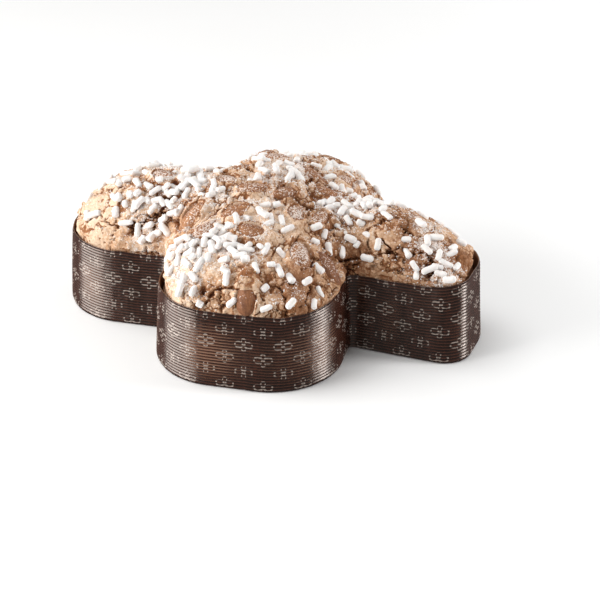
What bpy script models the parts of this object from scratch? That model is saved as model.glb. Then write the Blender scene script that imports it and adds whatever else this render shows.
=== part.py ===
"""A colomba: a dove-shaped Easter loaf, glazed with almond paste and sugared, in its paper baking case.

Metres, +Z up. The origin is the middle of the case's underside. The head of the dove points to -X, its
tail to +X, and the two wings to -Y (front) and +Y (back).
"""

import math
from typing import NamedTuple

import bmesh
import bpy
import numpy as np
from mathutils import Matrix, Quaternion, Vector

MM = 0.001


def mm(*values):
    """Millimetres to metres, as a tuple."""
    return tuple(value * MM for value in values)


class Arm(NamedTuple):
    """One arm of the dove seen from above: a rectangle with rounded corners."""

    centre: tuple
    half_size: tuple
    radii: tuple  # of the corners at +x+y, +x-y, -x+y and -x-y
    turn: float


class Almond(NamedTuple):
    """Where one whole almond lies on the glaze. Angles are in degrees."""

    x: float
    y: float
    heading: float
    pitch: float
    size: float


# The dove in plan, at the case's rim: 270 x 194 mm.
HEAD = Arm(mm(-70, 6), mm(65, 41), mm(30, 30, 39.5, 39.5), 0)
TAIL = Arm(mm(70, 0), mm(65, 31), mm(30, 15.5, 20, 20), -7)
FRONT_WING = Arm(mm(-1, -52), mm(57, 45), mm(30, 43, 30, 42), 0)
BACK_WING = Arm(mm(5.5, 51.4), mm(55, 45), mm(36, 30, 38, 30), -2)
ARMS = (HEAD, TAIL, FRONT_WING, BACK_WING)
INNER_CORNER = 8.5 * MM

# The paper case.
PAPER = 1.0 * MM
RIM_HEIGHT = 51 * MM
TAIL_LIFT = 4 * MM  # the rim stands this much higher at the tail's end
TAIL_LIFT_FROM, TAIL_LIFT_OVER = mm(95, 40)
LEAN = 2.8 * MM  # the foot of the wall stands this far outside its rim

# The loaf inside it.
FIT_GAP = 0.4 * MM
BREAD_EDGE = 49.5 * MM  # height of the crust where it meets the paper
LEAN_IN = 13 * MM  # below that, where the loaf starts to leave the paper
SHOULDER_RISE, SHOULDER_WIDTH = mm(15, 29)
SHOULDER_ROUNDNESS = 1.8  # 2 is a quarter of an ellipse
CROWNS = (  # x, y, height and spread of each swelling of the dome
    mm(0, 0, 18.5, 36),
    mm(-80, 0, 23, 35),
    mm(82, 0, 19.5, 24),
    mm(3, 50, 18.5, 35),
    mm(-1, -50, 12, 35),
)
PULLED_IN = (  # x, y, spread and width of the gaps where the baked loaf shrank from the paper
    mm(-135, 12, 26, 3.6),
    mm(-57, -66, 15, 3.2),
    mm(135, 2, 22, 3.6),
)

# The cracked glaze.
PLATE_SIZE = 21 * MM
PLATE_JITTER = 0.42
PLATE_STEP = 1.0 * MM  # how far plates stand above or below each other
PLATE_SEED = 11
CRACK_WIDTH, CRACK_DEPTH = mm(3.4, 3.4)
CRACK_PATCHES = mm(31, 27)  # lengths of the waves along X and Y that open and close the cracks
WARP_REACH, WARP_LENGTH = mm(3.2, 9.5)  # of the waves that bend the cracks
LUMP_HEIGHT, LUMP_LENGTH = mm(0.9, 6.5)
GLAZE_FADE = 9 * MM  # the relief grows over this distance from the edge

# The almonds: the visible ones where the photo has them, then some on the far side.
ALMOND_LENGTH, ALMOND_WIDTH, ALMOND_THICKNESS = mm(24, 14, 9.5)
ALMOND_TAPER, ALMOND_TAPER_POWER = 0.42, 2.2  # how much, and how late, it narrows to its point
ALMOND_SUNK = 1.2 * MM
ALMONDS = (
    Almond(*mm(7, -91), 97, 4, 0.96),
    Almond(*mm(48.5, -49), -20, 4, 1.1),
    Almond(*mm(32, -57), 110, 0, 1.06),
    Almond(*mm(1, -51), -7, 0, 1.0),
    Almond(*mm(-13, -34), 201, 0, 0.98),
    Almond(*mm(-44, -33), 50, 4, 1.1),
    Almond(*mm(-31, -49), 56, 0, 0.86),
    Almond(*mm(-9, -12), 14, 0, 0.94),
    Almond(*mm(12, -9), 232, 16, 0.94),
    Almond(*mm(22, -26), 290, 0, 0.82),
    Almond(*mm(36, -19), 75, 0, 0.82),
    Almond(*mm(21, 23), -20, 0, 0.9),
    Almond(*mm(35, 8), 10, 0, 0.98),
    Almond(*mm(-29, -2), -11, 0, 0.9),
    Almond(*mm(-9, 36), 6, 4, 0.95),
    Almond(*mm(-71, 0), -20, 3, 0.9),
    Almond(*mm(14, 45), 30, 0, 0.86),
    Almond(*mm(-24, 15), 20, 4, 0.86),
    Almond(*mm(38, 40), 65, 4, 0.9),
    Almond(*mm(-22, 68), 100, 3, 1.0),
    Almond(*mm(22, 76), 40, 3, 1.02),
    Almond(*mm(92, 21), 170, 3, 0.96),
    Almond(*mm(-96, 35), 130, 3, 0.98),
)

# The sugar nibs: short rods, heaped in patches and scattered between them.
NIB_WIDTH = mm(3.4, 4.5)
NIB_LENGTH = mm(7.5, 11.5)
NIB_SEED = 5
NIB_EDGE = 4.5 * MM  # a nib's middle stays this far inside the rim
NIB_RAISED = 0.18  # its middle stands this share of its width above the glaze
TRIES_FOR_EACH_NIB = 60
NIB_SPACING = 5.2 * MM
SCATTER_SPACING = 10.5 * MM
SCATTERED_NIBS = 56
NIB_PATCHES = (  # x, y and spread in millimetres, then how many nibs
    (-22, -58, 8, 8),
    (-40, -66, 8, 7),
    (-72, -15, 11, 9),
    (-50, -8, 8, 4),
    (-76, -33, 6, 3),
    (0, -66, 6, 4),
    (-3, 2, 6, 4),
    (14, 24, 6, 2),
    (47, -6, 7, 4),
    (60, 8, 8, 4),
    (-32, -84, 6, 3),
    (106, -21, 10, 4),
    (114, -32, 5, 2),
)

OUTLINE_RAYS = 1440
STATIONS = 128  # points round the case and the loaf's foot
TURN_WEIGHT = 20 * MM  # tighter bends get more of those points
DOME_RINGS = 46
RING_SPREAD = 1.15  # above 1, the rings are closer together at the edge
BREAD_TRIANGLES = 3800


def rounded_rectangle(x, y, arm):
    """Signed distance from points to an arm's edge, negative inside it."""
    cos, sin = math.cos(math.radians(arm.turn)), math.sin(math.radians(arm.turn))
    dx, dy = x - arm.centre[0], y - arm.centre[1]
    u, v = dx * cos + dy * sin, dy * cos - dx * sin
    right, left = np.where(v > 0, *arm.radii[:2]), np.where(v > 0, *arm.radii[2:])
    radius = np.where(u > 0, right, left)
    over_u = np.abs(u) - arm.half_size[0] + radius
    over_v = np.abs(v) - arm.half_size[1] + radius
    outside = np.hypot(np.maximum(over_u, 0), np.maximum(over_v, 0))
    return outside + np.minimum(np.maximum(over_u, over_v), 0) - radius


def plan_distance(x, y):
    """Signed distance to the dove's outline: the four arms, blended at the inner corners."""
    distance = rounded_rectangle(x, y, ARMS[0])
    for arm in ARMS[1:]:
        other = rounded_rectangle(x, y, arm)
        mix = np.clip(0.5 + 0.5 * (other - distance) / INNER_CORNER, 0, 1)
        distance = other * (1 - mix) + distance * mix - INNER_CORNER * mix * (1 - mix)
    return distance


def trace_outline():
    """The dove's rim as points on rays from the middle, anticlockwise."""
    angles = np.linspace(0, 2 * math.pi, OUTLINE_RAYS, endpoint=False)
    cos, sin = np.cos(angles), np.sin(angles)
    near, far = np.zeros(OUTLINE_RAYS), np.full(OUTLINE_RAYS, 250 * MM)
    for _ in range(40):
        middle = (near + far) / 2
        inside = plan_distance(middle * cos, middle * sin) < 0
        near, far = np.where(inside, middle, near), np.where(inside, far, middle)
    return np.stack([near * cos, near * sin], axis=1)


OUTLINE = trace_outline()


def stations(count):
    """Points along the outline, closer together where it bends."""
    step = np.roll(OUTLINE, -1, axis=0) - OUTLINE
    heading = np.unwrap(np.arctan2(step[:, 1], step[:, 0]))
    bend = np.abs(np.diff(heading, append=heading[0] + 2 * math.pi))
    measure = np.concatenate([[0], np.cumsum(np.hypot(*step.T) + TURN_WEIGHT * bend)])
    wanted = np.linspace(0, measure[-1], count, endpoint=False)
    closed = np.vstack([OUTLINE, OUTLINE[:1]])
    return np.stack([np.interp(wanted, measure, closed[:, axis]) for axis in (0, 1)], axis=1)


def outward(points):
    """Unit normals of a closed outline."""
    along = np.roll(points, -1, axis=0) - np.roll(points, 1, axis=0)
    normal = np.stack([along[:, 1], -along[:, 0]], axis=1)
    return normal / np.linalg.norm(normal, axis=1, keepdims=True)


def smooth_step(t):
    t = np.clip(t, 0, 1)
    return t * t * (3 - 2 * t)


def rim_height(x):
    """The height of the paper's rim, which rises towards the tail's end."""
    return RIM_HEIGHT + TAIL_LIFT * smooth_step((x - TAIL_LIFT_FROM) / TAIL_LIFT_OVER)


def glaze_plates():
    """The middles of the plates that the glaze cracked into, and how far each stands up."""
    random = np.random.default_rng(PLATE_SEED)
    columns, rows = np.meshgrid(np.arange(-8, 9), np.arange(-6, 7))
    grid = np.stack([columns + 0.5 * (rows % 2), rows], axis=-1).reshape(-1, 2).astype(float)
    jitter = random.uniform(-PLATE_JITTER, PLATE_JITTER, grid.shape)
    return (grid + jitter) * PLATE_SIZE, random.uniform(-1, 1, len(grid)) * PLATE_STEP


PLATES, PLATE_HEIGHTS = glaze_plates()


def glaze_relief(x, y):
    """Cracks, the steps between plates, and small lumps."""
    wave_x, wave_y = x / WARP_LENGTH, y / WARP_LENGTH
    u = x + WARP_REACH * np.sin(wave_y + 1.3 * np.sin(wave_x))
    v = y + WARP_REACH * np.sin(1.1 * wave_x + 1.7 * np.sin(wave_y))
    away = np.hypot(u[..., None] - PLATES[:, 0], v[..., None] - PLATES[:, 1])
    nearest = np.argsort(away, axis=-1)[..., :2]
    first, second = np.take_along_axis(away, nearest, axis=-1).T
    border = (second - first).T
    patch = np.sin(x / CRACK_PATCHES[0] + 2.1) * np.sin(y / CRACK_PATCHES[1] + 0.6)
    open_crack = smooth_step(0.75 + 0.75 * patch)
    crack = CRACK_DEPTH * open_crack * (1 - smooth_step(border / CRACK_WIDTH))
    step = PLATE_HEIGHTS[nearest[..., 0]] * smooth_step(border / CRACK_WIDTH)
    lump_x, lump_y = x / LUMP_LENGTH, y / LUMP_LENGTH
    lumps = LUMP_HEIGHT * np.sin(lump_x + 2 * np.sin(lump_y)) * np.cos(1.2 * lump_y)
    return step + lumps - crack


def depth_inside(x, y):
    """How far points inside the rim are from it."""
    flat_x, flat_y = np.ravel(x), np.ravel(y)
    away = np.hypot(flat_x[:, None] - OUTLINE[:, 0], flat_y[:, None] - OUTLINE[:, 1])
    return away.min(axis=1).reshape(np.shape(x))


def dome_height(x, y):
    """The baked dome's smooth top."""
    inside = np.clip(depth_inside(x, y) / SHOULDER_WIDTH, 0, 1)
    crown = sum(
        height * np.exp(-((x - cx) ** 2 + (y - cy) ** 2) / (2 * spread**2))
        for cx, cy, height, spread in CROWNS
    )
    shoulder = (1 - (1 - inside) ** SHOULDER_ROUNDNESS) ** (1 / SHOULDER_ROUNDNESS)
    return BREAD_EDGE + shoulder * (SHOULDER_RISE + crown)


def crust_height(x, y):
    """The dome with its glaze, which thins out at the edge."""
    fade = smooth_step(depth_inside(x, y) / GLAZE_FADE)
    return dome_height(x, y) + fade * glaze_relief(x, y)


def dome_normal(x, y):
    """The dome's unit normal at one point."""
    reach = 4 * MM
    across = np.array([x + reach, x - reach, x, x])
    along = np.array([y, y, y + reach, y - reach])
    east, west, north, south = dome_height(across, along)
    return Vector(((west - east) / (2 * reach), (south - north) / (2 * reach), 1)).normalized()


def edge_inset(points):
    """How far the crust's edge stands inside the paper."""
    inset = np.full(len(points), PAPER + FIT_GAP)
    for x, y, spread, gap in PULLED_IN:
        inset += gap * np.exp(-((points[:, 0] - x) ** 2 + (points[:, 1] - y) ** 2) / (2 * spread**2))
    return inset


def material(name, colour, roughness):
    made = bpy.data.materials.new(name)
    made.use_nodes = True
    shader = made.node_tree.nodes["Principled BSDF"]
    shader.inputs["Base Color"].default_value = (*colour, 1)
    shader.inputs["Roughness"].default_value = roughness
    shader.inputs["Metallic"].default_value = 0
    return made


def new_object(name, mesh, collection, finish=None):
    made = bpy.data.objects.new(name, mesh)
    if finish:
        mesh.materials.append(finish)
    collection.objects.link(made)
    return made


def mesh_from(name, build):
    """A mesh filled by build(bmesh)."""
    work = bmesh.new()
    build(work)
    mesh = bpy.data.meshes.new(name)
    work.to_mesh(mesh)
    work.free()
    return mesh


def ring_of(work, points, heights):
    heights = np.broadcast_to(heights, len(points))
    return [work.verts.new((x, y, z)) for (x, y), z in zip(points, heights)]


def join_rings(work, lower, upper):
    """A band of quads between two rings with as many points."""
    for i in range(len(lower)):
        after = (i + 1) % len(lower)
        work.faces.new((lower[i], lower[after], upper[after], upper[i]))


def join_to_finer_ring(work, lower, upper):
    """A band between a ring and one with twice its points."""
    for i in range(len(lower)):
        after = (i + 1) % len(lower)
        work.faces.new((lower[i], lower[after], upper[2 * after], upper[2 * i + 1], upper[2 * i]))


def apply_modifiers(thing):
    """Replaces an object's mesh with what its modifiers make of it."""
    evaluated = thing.evaluated_get(bpy.context.evaluated_depsgraph_get())
    made = bpy.data.meshes.new_from_object(evaluated)
    thing.modifiers.clear()
    thing.data = made


def make_case(collection):
    """The paper case: a flat floor and one wall, that leans in a little."""
    rim = stations(STATIONS)

    def build(work):
        foot = ring_of(work, rim + LEAN * outward(rim), 0)
        top = ring_of(work, rim, rim_height(rim[:, 0]))
        join_rings(work, foot, top)
        work.faces.new(reversed(foot))

    paper = material("paper", (0.055, 0.022, 0.014), 0.5)
    case = new_object("paper_case", mesh_from("paper_case", build), collection, paper)
    shell = case.modifiers.new("Thickness", "SOLIDIFY")
    shell.thickness = PAPER
    shell.offset = -1
    shell.use_even_offset = True


def loaf_mesh():
    """The loaf: a foot that fits the case, and rings over the dome to its middle."""
    coarse = stations(STATIONS)
    fine = stations(2 * STATIONS)

    def inside_wall(height):
        """The loaf's section at a height, in the leaning wall."""
        lean = LEAN * (1 - height / RIM_HEIGHT)
        return coarse + outward(coarse) * (lean - PAPER - FIT_GAP)

    def build(work):
        bottom, leaving = PAPER + FIT_GAP, BREAD_EDGE - LEAN_IN
        foot = ring_of(work, inside_wall(bottom), bottom)
        belt = ring_of(work, inside_wall(leaving), leaving)
        edge = fine - outward(fine) * edge_inset(fine)[:, None]
        previous = ring_of(work, edge, BREAD_EDGE)
        work.faces.new(reversed(foot))
        join_rings(work, foot, belt)
        join_to_finer_ring(work, belt, previous)
        for step in range(1, DOME_RINGS):
            points = edge * (1 - (step / DOME_RINGS) ** RING_SPREAD)
            ring = ring_of(work, points, crust_height(points[:, 0], points[:, 1]))
            join_rings(work, previous, ring)
            previous = ring
        work.faces.new(previous)

    return mesh_from("bread", build)


def thin_out(bread):
    """Fewer triangles on the dome, kept where cracks and plates need them. The sides stay as they are."""
    dome = bread.vertex_groups.new(name="dome")
    dome.add([v.index for v in bread.data.vertices if v.index >= 2 * STATIONS], 1, "REPLACE")
    before = sum(len(face.vertices) - 2 for face in bread.data.polygons)
    fewer = bread.modifiers.new("Fewer", "DECIMATE")
    fewer.ratio = BREAD_TRIANGLES / before
    fewer.vertex_group = "dome"
    fewer.use_collapse_triangulate = True
    apply_modifiers(bread)


def almond_mesh():
    """A whole almond along X: round at one end, pointed at the other."""

    def build(work):
        bmesh.ops.create_uvsphere(work, u_segments=8, v_segments=5, radius=0.5)
        bmesh.ops.rotate(work, verts=work.verts, matrix=Matrix.Rotation(math.pi / 2, 3, "Y"))
        for vert in work.verts:
            taper = 1 - ALMOND_TAPER * (vert.co.x + 0.5) ** ALMOND_TAPER_POWER
            vert.co.y *= taper
            vert.co.z *= taper
        bmesh.ops.scale(work, verts=work.verts, vec=(ALMOND_LENGTH, ALMOND_WIDTH, ALMOND_THICKNESS))

    return mesh_from("almond", build)


def almond_pose(almond):
    """Where an almond lies, and how it turns: flat on the dome, then pitched nose up."""
    normal = dome_normal(almond.x, almond.y)
    height = float(dome_height(np.array(almond.x), np.array(almond.y)))
    place = Vector((almond.x, almond.y, height)) - normal * ALMOND_SUNK
    upright = Vector((0, 0, 1)).rotation_difference(normal)
    heading = Quaternion((0, 0, 1), math.radians(almond.heading))
    pitch = Quaternion((0, 1, 0), -math.radians(almond.pitch))
    return place, upright @ heading @ pitch


def add_almonds(collection, cutters):
    """The almonds, and a slightly larger copy of each to cut its socket."""
    mesh = almond_mesh()
    mesh.materials.append(material("almond", (0.33, 0.15, 0.055), 0.55))
    mesh.shade_smooth()
    for number, almond in enumerate(ALMONDS, 1):
        place, turn = almond_pose(almond)
        piece = new_object(f"almond_{number:02d}", mesh, collection)
        socket = new_object(f"socket_{number:02d}", mesh, cutters)
        for thing, grow in ((piece, 0), (socket, 2 * FIT_GAP)):
            thing.location = place
            thing.rotation_mode = "QUATERNION"
            thing.rotation_quaternion = turn
            sides = (ALMOND_LENGTH, ALMOND_WIDTH, ALMOND_THICKNESS)
            thing.scale = [almond.size + grow / side for side in sides]


class Nib(NamedTuple):
    """One rod of sugar."""

    x: float
    y: float
    heading: float
    pitch: float
    width: float
    length: float


def clear_of_almonds(x, y, room):
    """True where a nib that needs this much room would miss every almond."""
    for almond in ALMONDS:
        half = ALMOND_LENGTH * almond.size / 2 - ALMOND_WIDTH / 2
        cos, sin = math.cos(math.radians(almond.heading)), math.sin(math.radians(almond.heading))
        dx, dy = x - almond.x, y - almond.y
        along = max(abs(dx * cos + dy * sin) - half, 0)
        across = abs(dy * cos - dx * sin)
        if math.hypot(along, across) < ALMOND_WIDTH * almond.size / 2 + room:
            return False
    return True


def place_nibs():
    """The larger nibs: first the patches, then an even scatter."""
    random = np.random.default_rng(NIB_SEED)
    nibs = []

    def try_nib(x, y, spacing):
        heading, pitch = random.uniform(0, 180), random.uniform(-10, 14)
        width, length = random.uniform(*NIB_WIDTH), random.uniform(*NIB_LENGTH)
        inside = plan_distance(np.array(x), np.array(y)) < -NIB_EDGE
        apart = all(math.hypot(x - nib.x, y - nib.y) > spacing for nib in nibs)
        if inside and apart and clear_of_almonds(x, y, length / 2):
            nibs.append(Nib(x, y, heading, pitch, width, length))

    for x, y, spread, count in NIB_PATCHES:
        wanted = len(nibs) + count
        for _ in range(TRIES_FOR_EACH_NIB * count):
            if len(nibs) < wanted:
                try_nib(*(np.array([x, y]) + random.normal(0, spread, 2)) * MM, NIB_SPACING)
    wanted = len(nibs) + SCATTERED_NIBS
    for _ in range(TRIES_FOR_EACH_NIB * SCATTERED_NIBS):
        if len(nibs) < wanted:
            try_nib(random.uniform(-135, 135) * MM, random.uniform(-97, 97) * MM, SCATTER_SPACING)
    return nibs


def nib_pose(nib):
    """A nib lies on the glaze, a third of it sunk in."""
    normal = dome_normal(nib.x, nib.y)
    height = float(crust_height(np.array(nib.x), np.array(nib.y)))
    place = Vector((nib.x, nib.y, height)) + normal * nib.width * NIB_RAISED
    upright = Vector((0, 0, 1)).rotation_difference(normal)
    heading = Quaternion((0, 0, 1), math.radians(nib.heading))
    pitch = Quaternion((0, 1, 0), -math.radians(nib.pitch))
    return place, upright @ heading @ pitch


def add_nibs(collection):
    """Five-sided rods, to be fused to the crust."""

    def build(work):
        bmesh.ops.create_cone(work, cap_ends=True, segments=5, radius1=0.5, radius2=0.5, depth=1)
        bmesh.ops.rotate(work, verts=work.verts, matrix=Matrix.Rotation(math.pi / 2, 3, "Y"))

    mesh = mesh_from("nib", build)
    for number, nib in enumerate(place_nibs(), 1):
        place, turn = nib_pose(nib)
        rod = new_object(f"nib_{number:03d}", mesh, collection)
        rod.location = place
        rod.rotation_mode = "QUATERNION"
        rod.rotation_quaternion = turn
        rod.scale = (nib.length, nib.width, nib.width)


def keep_largest_shell(thing):
    """Drops loose scraps, and fills the pockets that nibs seal between them."""
    work = bmesh.new()
    work.from_mesh(thing.data)
    waiting = set(work.verts)
    shells = []
    while waiting:
        shell, edge_of_shell = set(), [waiting.pop()]
        while edge_of_shell:
            vert = edge_of_shell.pop()
            shell.add(vert)
            found = {edge.other_vert(vert) for edge in vert.link_edges} & waiting
            waiting -= found
            edge_of_shell.extend(found)
        shells.append(shell)
    largest = max(shells, key=len)
    bmesh.ops.delete(work, geom=[vert for vert in work.verts if vert not in largest], context="VERTS")
    work.to_mesh(thing.data)
    work.free()


def combine(bread, collection, operation):
    """Joins a collection's objects to the bread, or cuts them out of it, and removes them."""
    boolean = bread.modifiers.new(operation.title(), "BOOLEAN")
    boolean.operation = operation
    boolean.operand_type = "COLLECTION"
    boolean.collection = collection
    boolean.solver = "MANIFOLD"
    bpy.context.view_layer.update()
    apply_modifiers(bread)
    keep_largest_shell(bread)
    for thing in list(collection.objects):
        bpy.data.objects.remove(thing)
    bpy.data.collections.remove(collection)


def new_collection(name):
    made = bpy.data.collections.new(name)
    bpy.context.scene.collection.children.link(made)
    return made


def main():
    for thing in list(bpy.data.objects):
        bpy.data.objects.remove(thing)
    colomba = new_collection("colomba")
    sockets = new_collection("sockets")
    nibs = new_collection("nibs")
    make_case(colomba)
    bread = new_object("bread", loaf_mesh(), colomba, material("crust", (0.52, 0.31, 0.16), 0.8))
    thin_out(bread)
    add_almonds(colomba, sockets)
    add_nibs(nibs)
    combine(bread, nibs, "UNION")
    combine(bread, sockets, "DIFFERENCE")


main()
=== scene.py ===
"""The looks of a colomba: cracked and sugared glaze, whole almonds, sugar nibs and a ribbed paper case.

Metres, +Z up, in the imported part's frame. The dove's outline, its dome, the almonds and the larger nibs
follow the part's own rules, so each piece here lies where its solid does.
"""

import itertools
import math
from typing import NamedTuple

import bmesh
import bpy
import numpy as np
from mathutils import Matrix, Quaternion, Vector
from mathutils.bvhtree import BVHTree

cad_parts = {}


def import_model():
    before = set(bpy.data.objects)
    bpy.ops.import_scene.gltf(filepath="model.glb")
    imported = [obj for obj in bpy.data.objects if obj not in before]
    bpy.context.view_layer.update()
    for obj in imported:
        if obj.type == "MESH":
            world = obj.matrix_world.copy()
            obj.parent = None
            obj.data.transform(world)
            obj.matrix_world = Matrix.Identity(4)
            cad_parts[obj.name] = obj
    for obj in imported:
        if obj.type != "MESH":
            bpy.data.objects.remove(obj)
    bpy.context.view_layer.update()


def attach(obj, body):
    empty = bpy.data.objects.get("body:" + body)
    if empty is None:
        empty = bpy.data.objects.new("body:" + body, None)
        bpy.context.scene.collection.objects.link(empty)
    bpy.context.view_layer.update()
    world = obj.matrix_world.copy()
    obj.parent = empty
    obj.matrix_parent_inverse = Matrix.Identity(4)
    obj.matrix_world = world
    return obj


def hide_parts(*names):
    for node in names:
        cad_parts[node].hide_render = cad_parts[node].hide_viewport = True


MM = 0.001


def mm(*values):
    """Millimetres to metres, as a tuple."""
    return tuple(value * MM for value in values)


class Arm(NamedTuple):
    """One arm of the dove seen from above: a rectangle with rounded corners."""

    centre: tuple
    half_size: tuple
    radii: tuple  # of the corners at +x+y, +x-y, -x+y and -x-y
    turn: float


class Almond(NamedTuple):
    """Where one whole almond lies on the glaze. Angles are in degrees."""

    x: float
    y: float
    heading: float
    pitch: float
    size: float
    tone: float  # 0 is pale and dry, 1 dark and smooth
    frost: float  # how much powdered sugar lies on it


# The dove in plan, at the case's rim.
HEAD = Arm(mm(-70, 6), mm(65, 41), mm(30, 30, 39.5, 39.5), 0)
TAIL = Arm(mm(70, 0), mm(65, 31), mm(30, 15.5, 20, 20), -7)
FRONT_WING = Arm(mm(-1, -52), mm(57, 45), mm(30, 43, 30, 42), 0)
BACK_WING = Arm(mm(5.5, 51.4), mm(55, 45), mm(36, 30, 38, 30), -2)
ARMS = (HEAD, TAIL, FRONT_WING, BACK_WING)
INNER_CORNER = 8.5 * MM
OUTLINE_RAYS = 1440
TURN_WEIGHT = 20 * MM  # tighter bends get more points

# The paper case.
PAPER = 1.0 * MM
RIM_HEIGHT = 51 * MM
TAIL_LIFT = 4 * MM  # the rim stands this much higher at the tail's end
TAIL_LIFT_FROM, TAIL_LIFT_OVER = mm(95, 40)
LEAN = 2.8 * MM  # the foot of the wall stands this far outside its rim
SHEET = 0.45 * MM  # the paper's own thickness
CASE_STATIONS = 460
RIB_PITCH, RIB_HEIGHT = mm(2.0, 0.85)
ROWS_A_RIB = 6
RIB_SLOPE = 0.68  # the share of each rib that slopes in and looks up
FOOT_RADIUS = 1.3 * MM
INNER_LEVELS = (0.93, 0.85, 0.6, 0.3, 0.03)  # rows inside the wall, as shares of its height
CUT_RIM, INSIDE_PALE_AND_LIT = 0.7, 0.95  # how much of the paper's pale cut shows at the rim, and how pale the inside is, brightened as painted light where it lies in shade
RIM_WAVE = 0.35 * MM
WALL_WAVE, PLEAT = mm(0.5, 0.10)
PLEAT_LAYERS = ((1.0, 3.4, 121), (0.6, 8, 122))  # height, length in millimetres and seed
RIM_LAYERS = ((1.0, 9, 123), (0.6, 30, 124))
ROSETTE_PITCH, ROSETTE_PERIOD = mm(12.2, 18.6)
ROSETTE_SHIFT = (0.35, 0.3)  # in columns and periods

# The loaf.
FIT_GAP = 0.4 * MM
BREAD_EDGE = 49.5 * MM  # height of the crust where it meets the paper
LEAN_IN = 13 * MM  # below that, where the loaf starts to leave the paper
SHOULDER_RISE, SHOULDER_WIDTH = mm(15, 29)
SHOULDER_ROUNDNESS = 1.8
CROWNS = (  # x, y, height and spread of each swelling of the dome
    mm(0, 0, 18.5, 36),
    mm(-80, 0, 23, 35),
    mm(82, 0, 19.5, 24),
    mm(3, 50, 18.5, 35),
    mm(-1, -50, 12, 35),
)
PULLED_IN = (  # x, y, spread and width of the gaps where the baked loaf shrank from the paper
    mm(-135, 12, 26, 3.6),
    mm(-57, -66, 15, 3.2),
    mm(135, 2, 22, 3.6),
)
LOAF_STATIONS = 960
LOAF_RINGS = 130
EDGE_ROWS = 11  # of the crust's upright edge
COARSEST = 6  # a ring has at least one 2**6th of the edge's points

# The glaze's plates and cracks, as the part has them.
PLATE_SIZE = 21 * MM
PLATE_JITTER = 0.42
PLATE_STEP = 1.0 * MM
PLATE_SEED = 11
CRACK_WIDTH, CRACK_DEPTH = mm(3.4, 3.4)
CRACK_PATCHES = mm(31, 27)
WARP_REACH, WARP_LENGTH = mm(3.2, 9.5)
LUMP_HEIGHT, LUMP_LENGTH = mm(0.9, 6.5)
GLAZE_FADE = 9 * MM

# Finer relief. A layer of waves is its height, its length in millimetres and its seed.
SHOULDER_HEIGHT = 28 * MM  # of the steep part, on average
RAGGED = mm(1.5, 3.2)  # how far, and over what length, crack edges wander
FISSURE = 0.16  # the width of the winding fissures, as a share of their waves
FISSURE_DEPTH, PIT_DEPTH = mm(1.0, 0.7)
WINDING_LAYERS = ((1.0, 14, 60), (0.5, 6, 61), (0.4, 2.4, 62))
GRAIN_LAYERS = ((0.34, 1.9, 82), (0.22, 1.1, 83), (0.34, 3.3, 81))
SWELL_LAYERS = ((0.42, 8, 84), (0.35, 4.5, 85))
HEAP_WIDTH = 1.4  # of the powder round a patch of nibs, in the patch's spreads
ALMOND_COLLAR = 2.9 * MM  # how high the glaze climbs an almond's side
BARE = (1.4, 0.88)  # how much sooner it ends an almond's bare part at one end, and at its sides
FRONT_BARE = (4.6, 0.72)  # the same for the almond at the front
OVERHANG = 1.8 * MM  # how far the crust's edge hangs over the rim in places
CALM = (  # x, y and spread along x and y of the places where the glaze is whole
    mm(-112, -14, 15, 12),
    mm(-30, -78, 12, 9),
    mm(14, -40, 9, 7),
    mm(68, -20, 12, 7),
    mm(92, 0, 14, 9),
    mm(118, 8, 9, 9),
    mm(-2, 18, 12, 8),
)
BROKEN = (  # x, y and spread along x and y of the places where the glaze has crumbled
    mm(12, -80, 18, 6),
    mm(-20, -90, 8, 5),
    mm(-60, -22, 12, 8),
    mm(102, -24, 10, 5),
    mm(122, -14, 6, 8),
    mm(-8, 52, 16, 6),
    mm(-105, 22, 9, 7),
    mm(62, 24, 12, 6),
)
LONG_CRACKS = (  # the pixels of the photograph that each runs through
    ((128, 228), (146, 222), (164, 215), (182, 207)),
    ((100, 190), (112, 187), (124, 184)),
    ((366, 233), (380, 221), (398, 218)),
    ((402, 228), (414, 233), (428, 240)),
    ((384, 246), (398, 258)),
    ((345, 264), (360, 265)),
    ((205, 300), (214, 290), (226, 287), (240, 291)),
    ((301, 272), (310, 265), (318, 256)),
)
LONG_CRACK_WIDTH, LONG_CRACK_DEPTH = mm(1.3, 2.6)
TOASTED_AND_SHADED = (  # x, y and spread along x and y of the places that baked browner, darkened further there as painted shade on the dove's right side
    mm(42, -70, 14, 16),
    mm(60, -26, 18, 12),
    mm(90, -8, 24, 30),
    mm(125, -4, 16, 26),
)
# How much browner those places are, part baked colour and part painted shade.
TOAST_AND_SHADE = 0.68
CAVITIES = (  # x, y, radius and depth
    mm(109, -28.5, 4.6, 3.8),
    mm(-21, -90, 2.6, 2.6),
    mm(-84, -29, 3.0, 2.8),
    mm(-62, -8, 3.2, 3.0),
)

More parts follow.
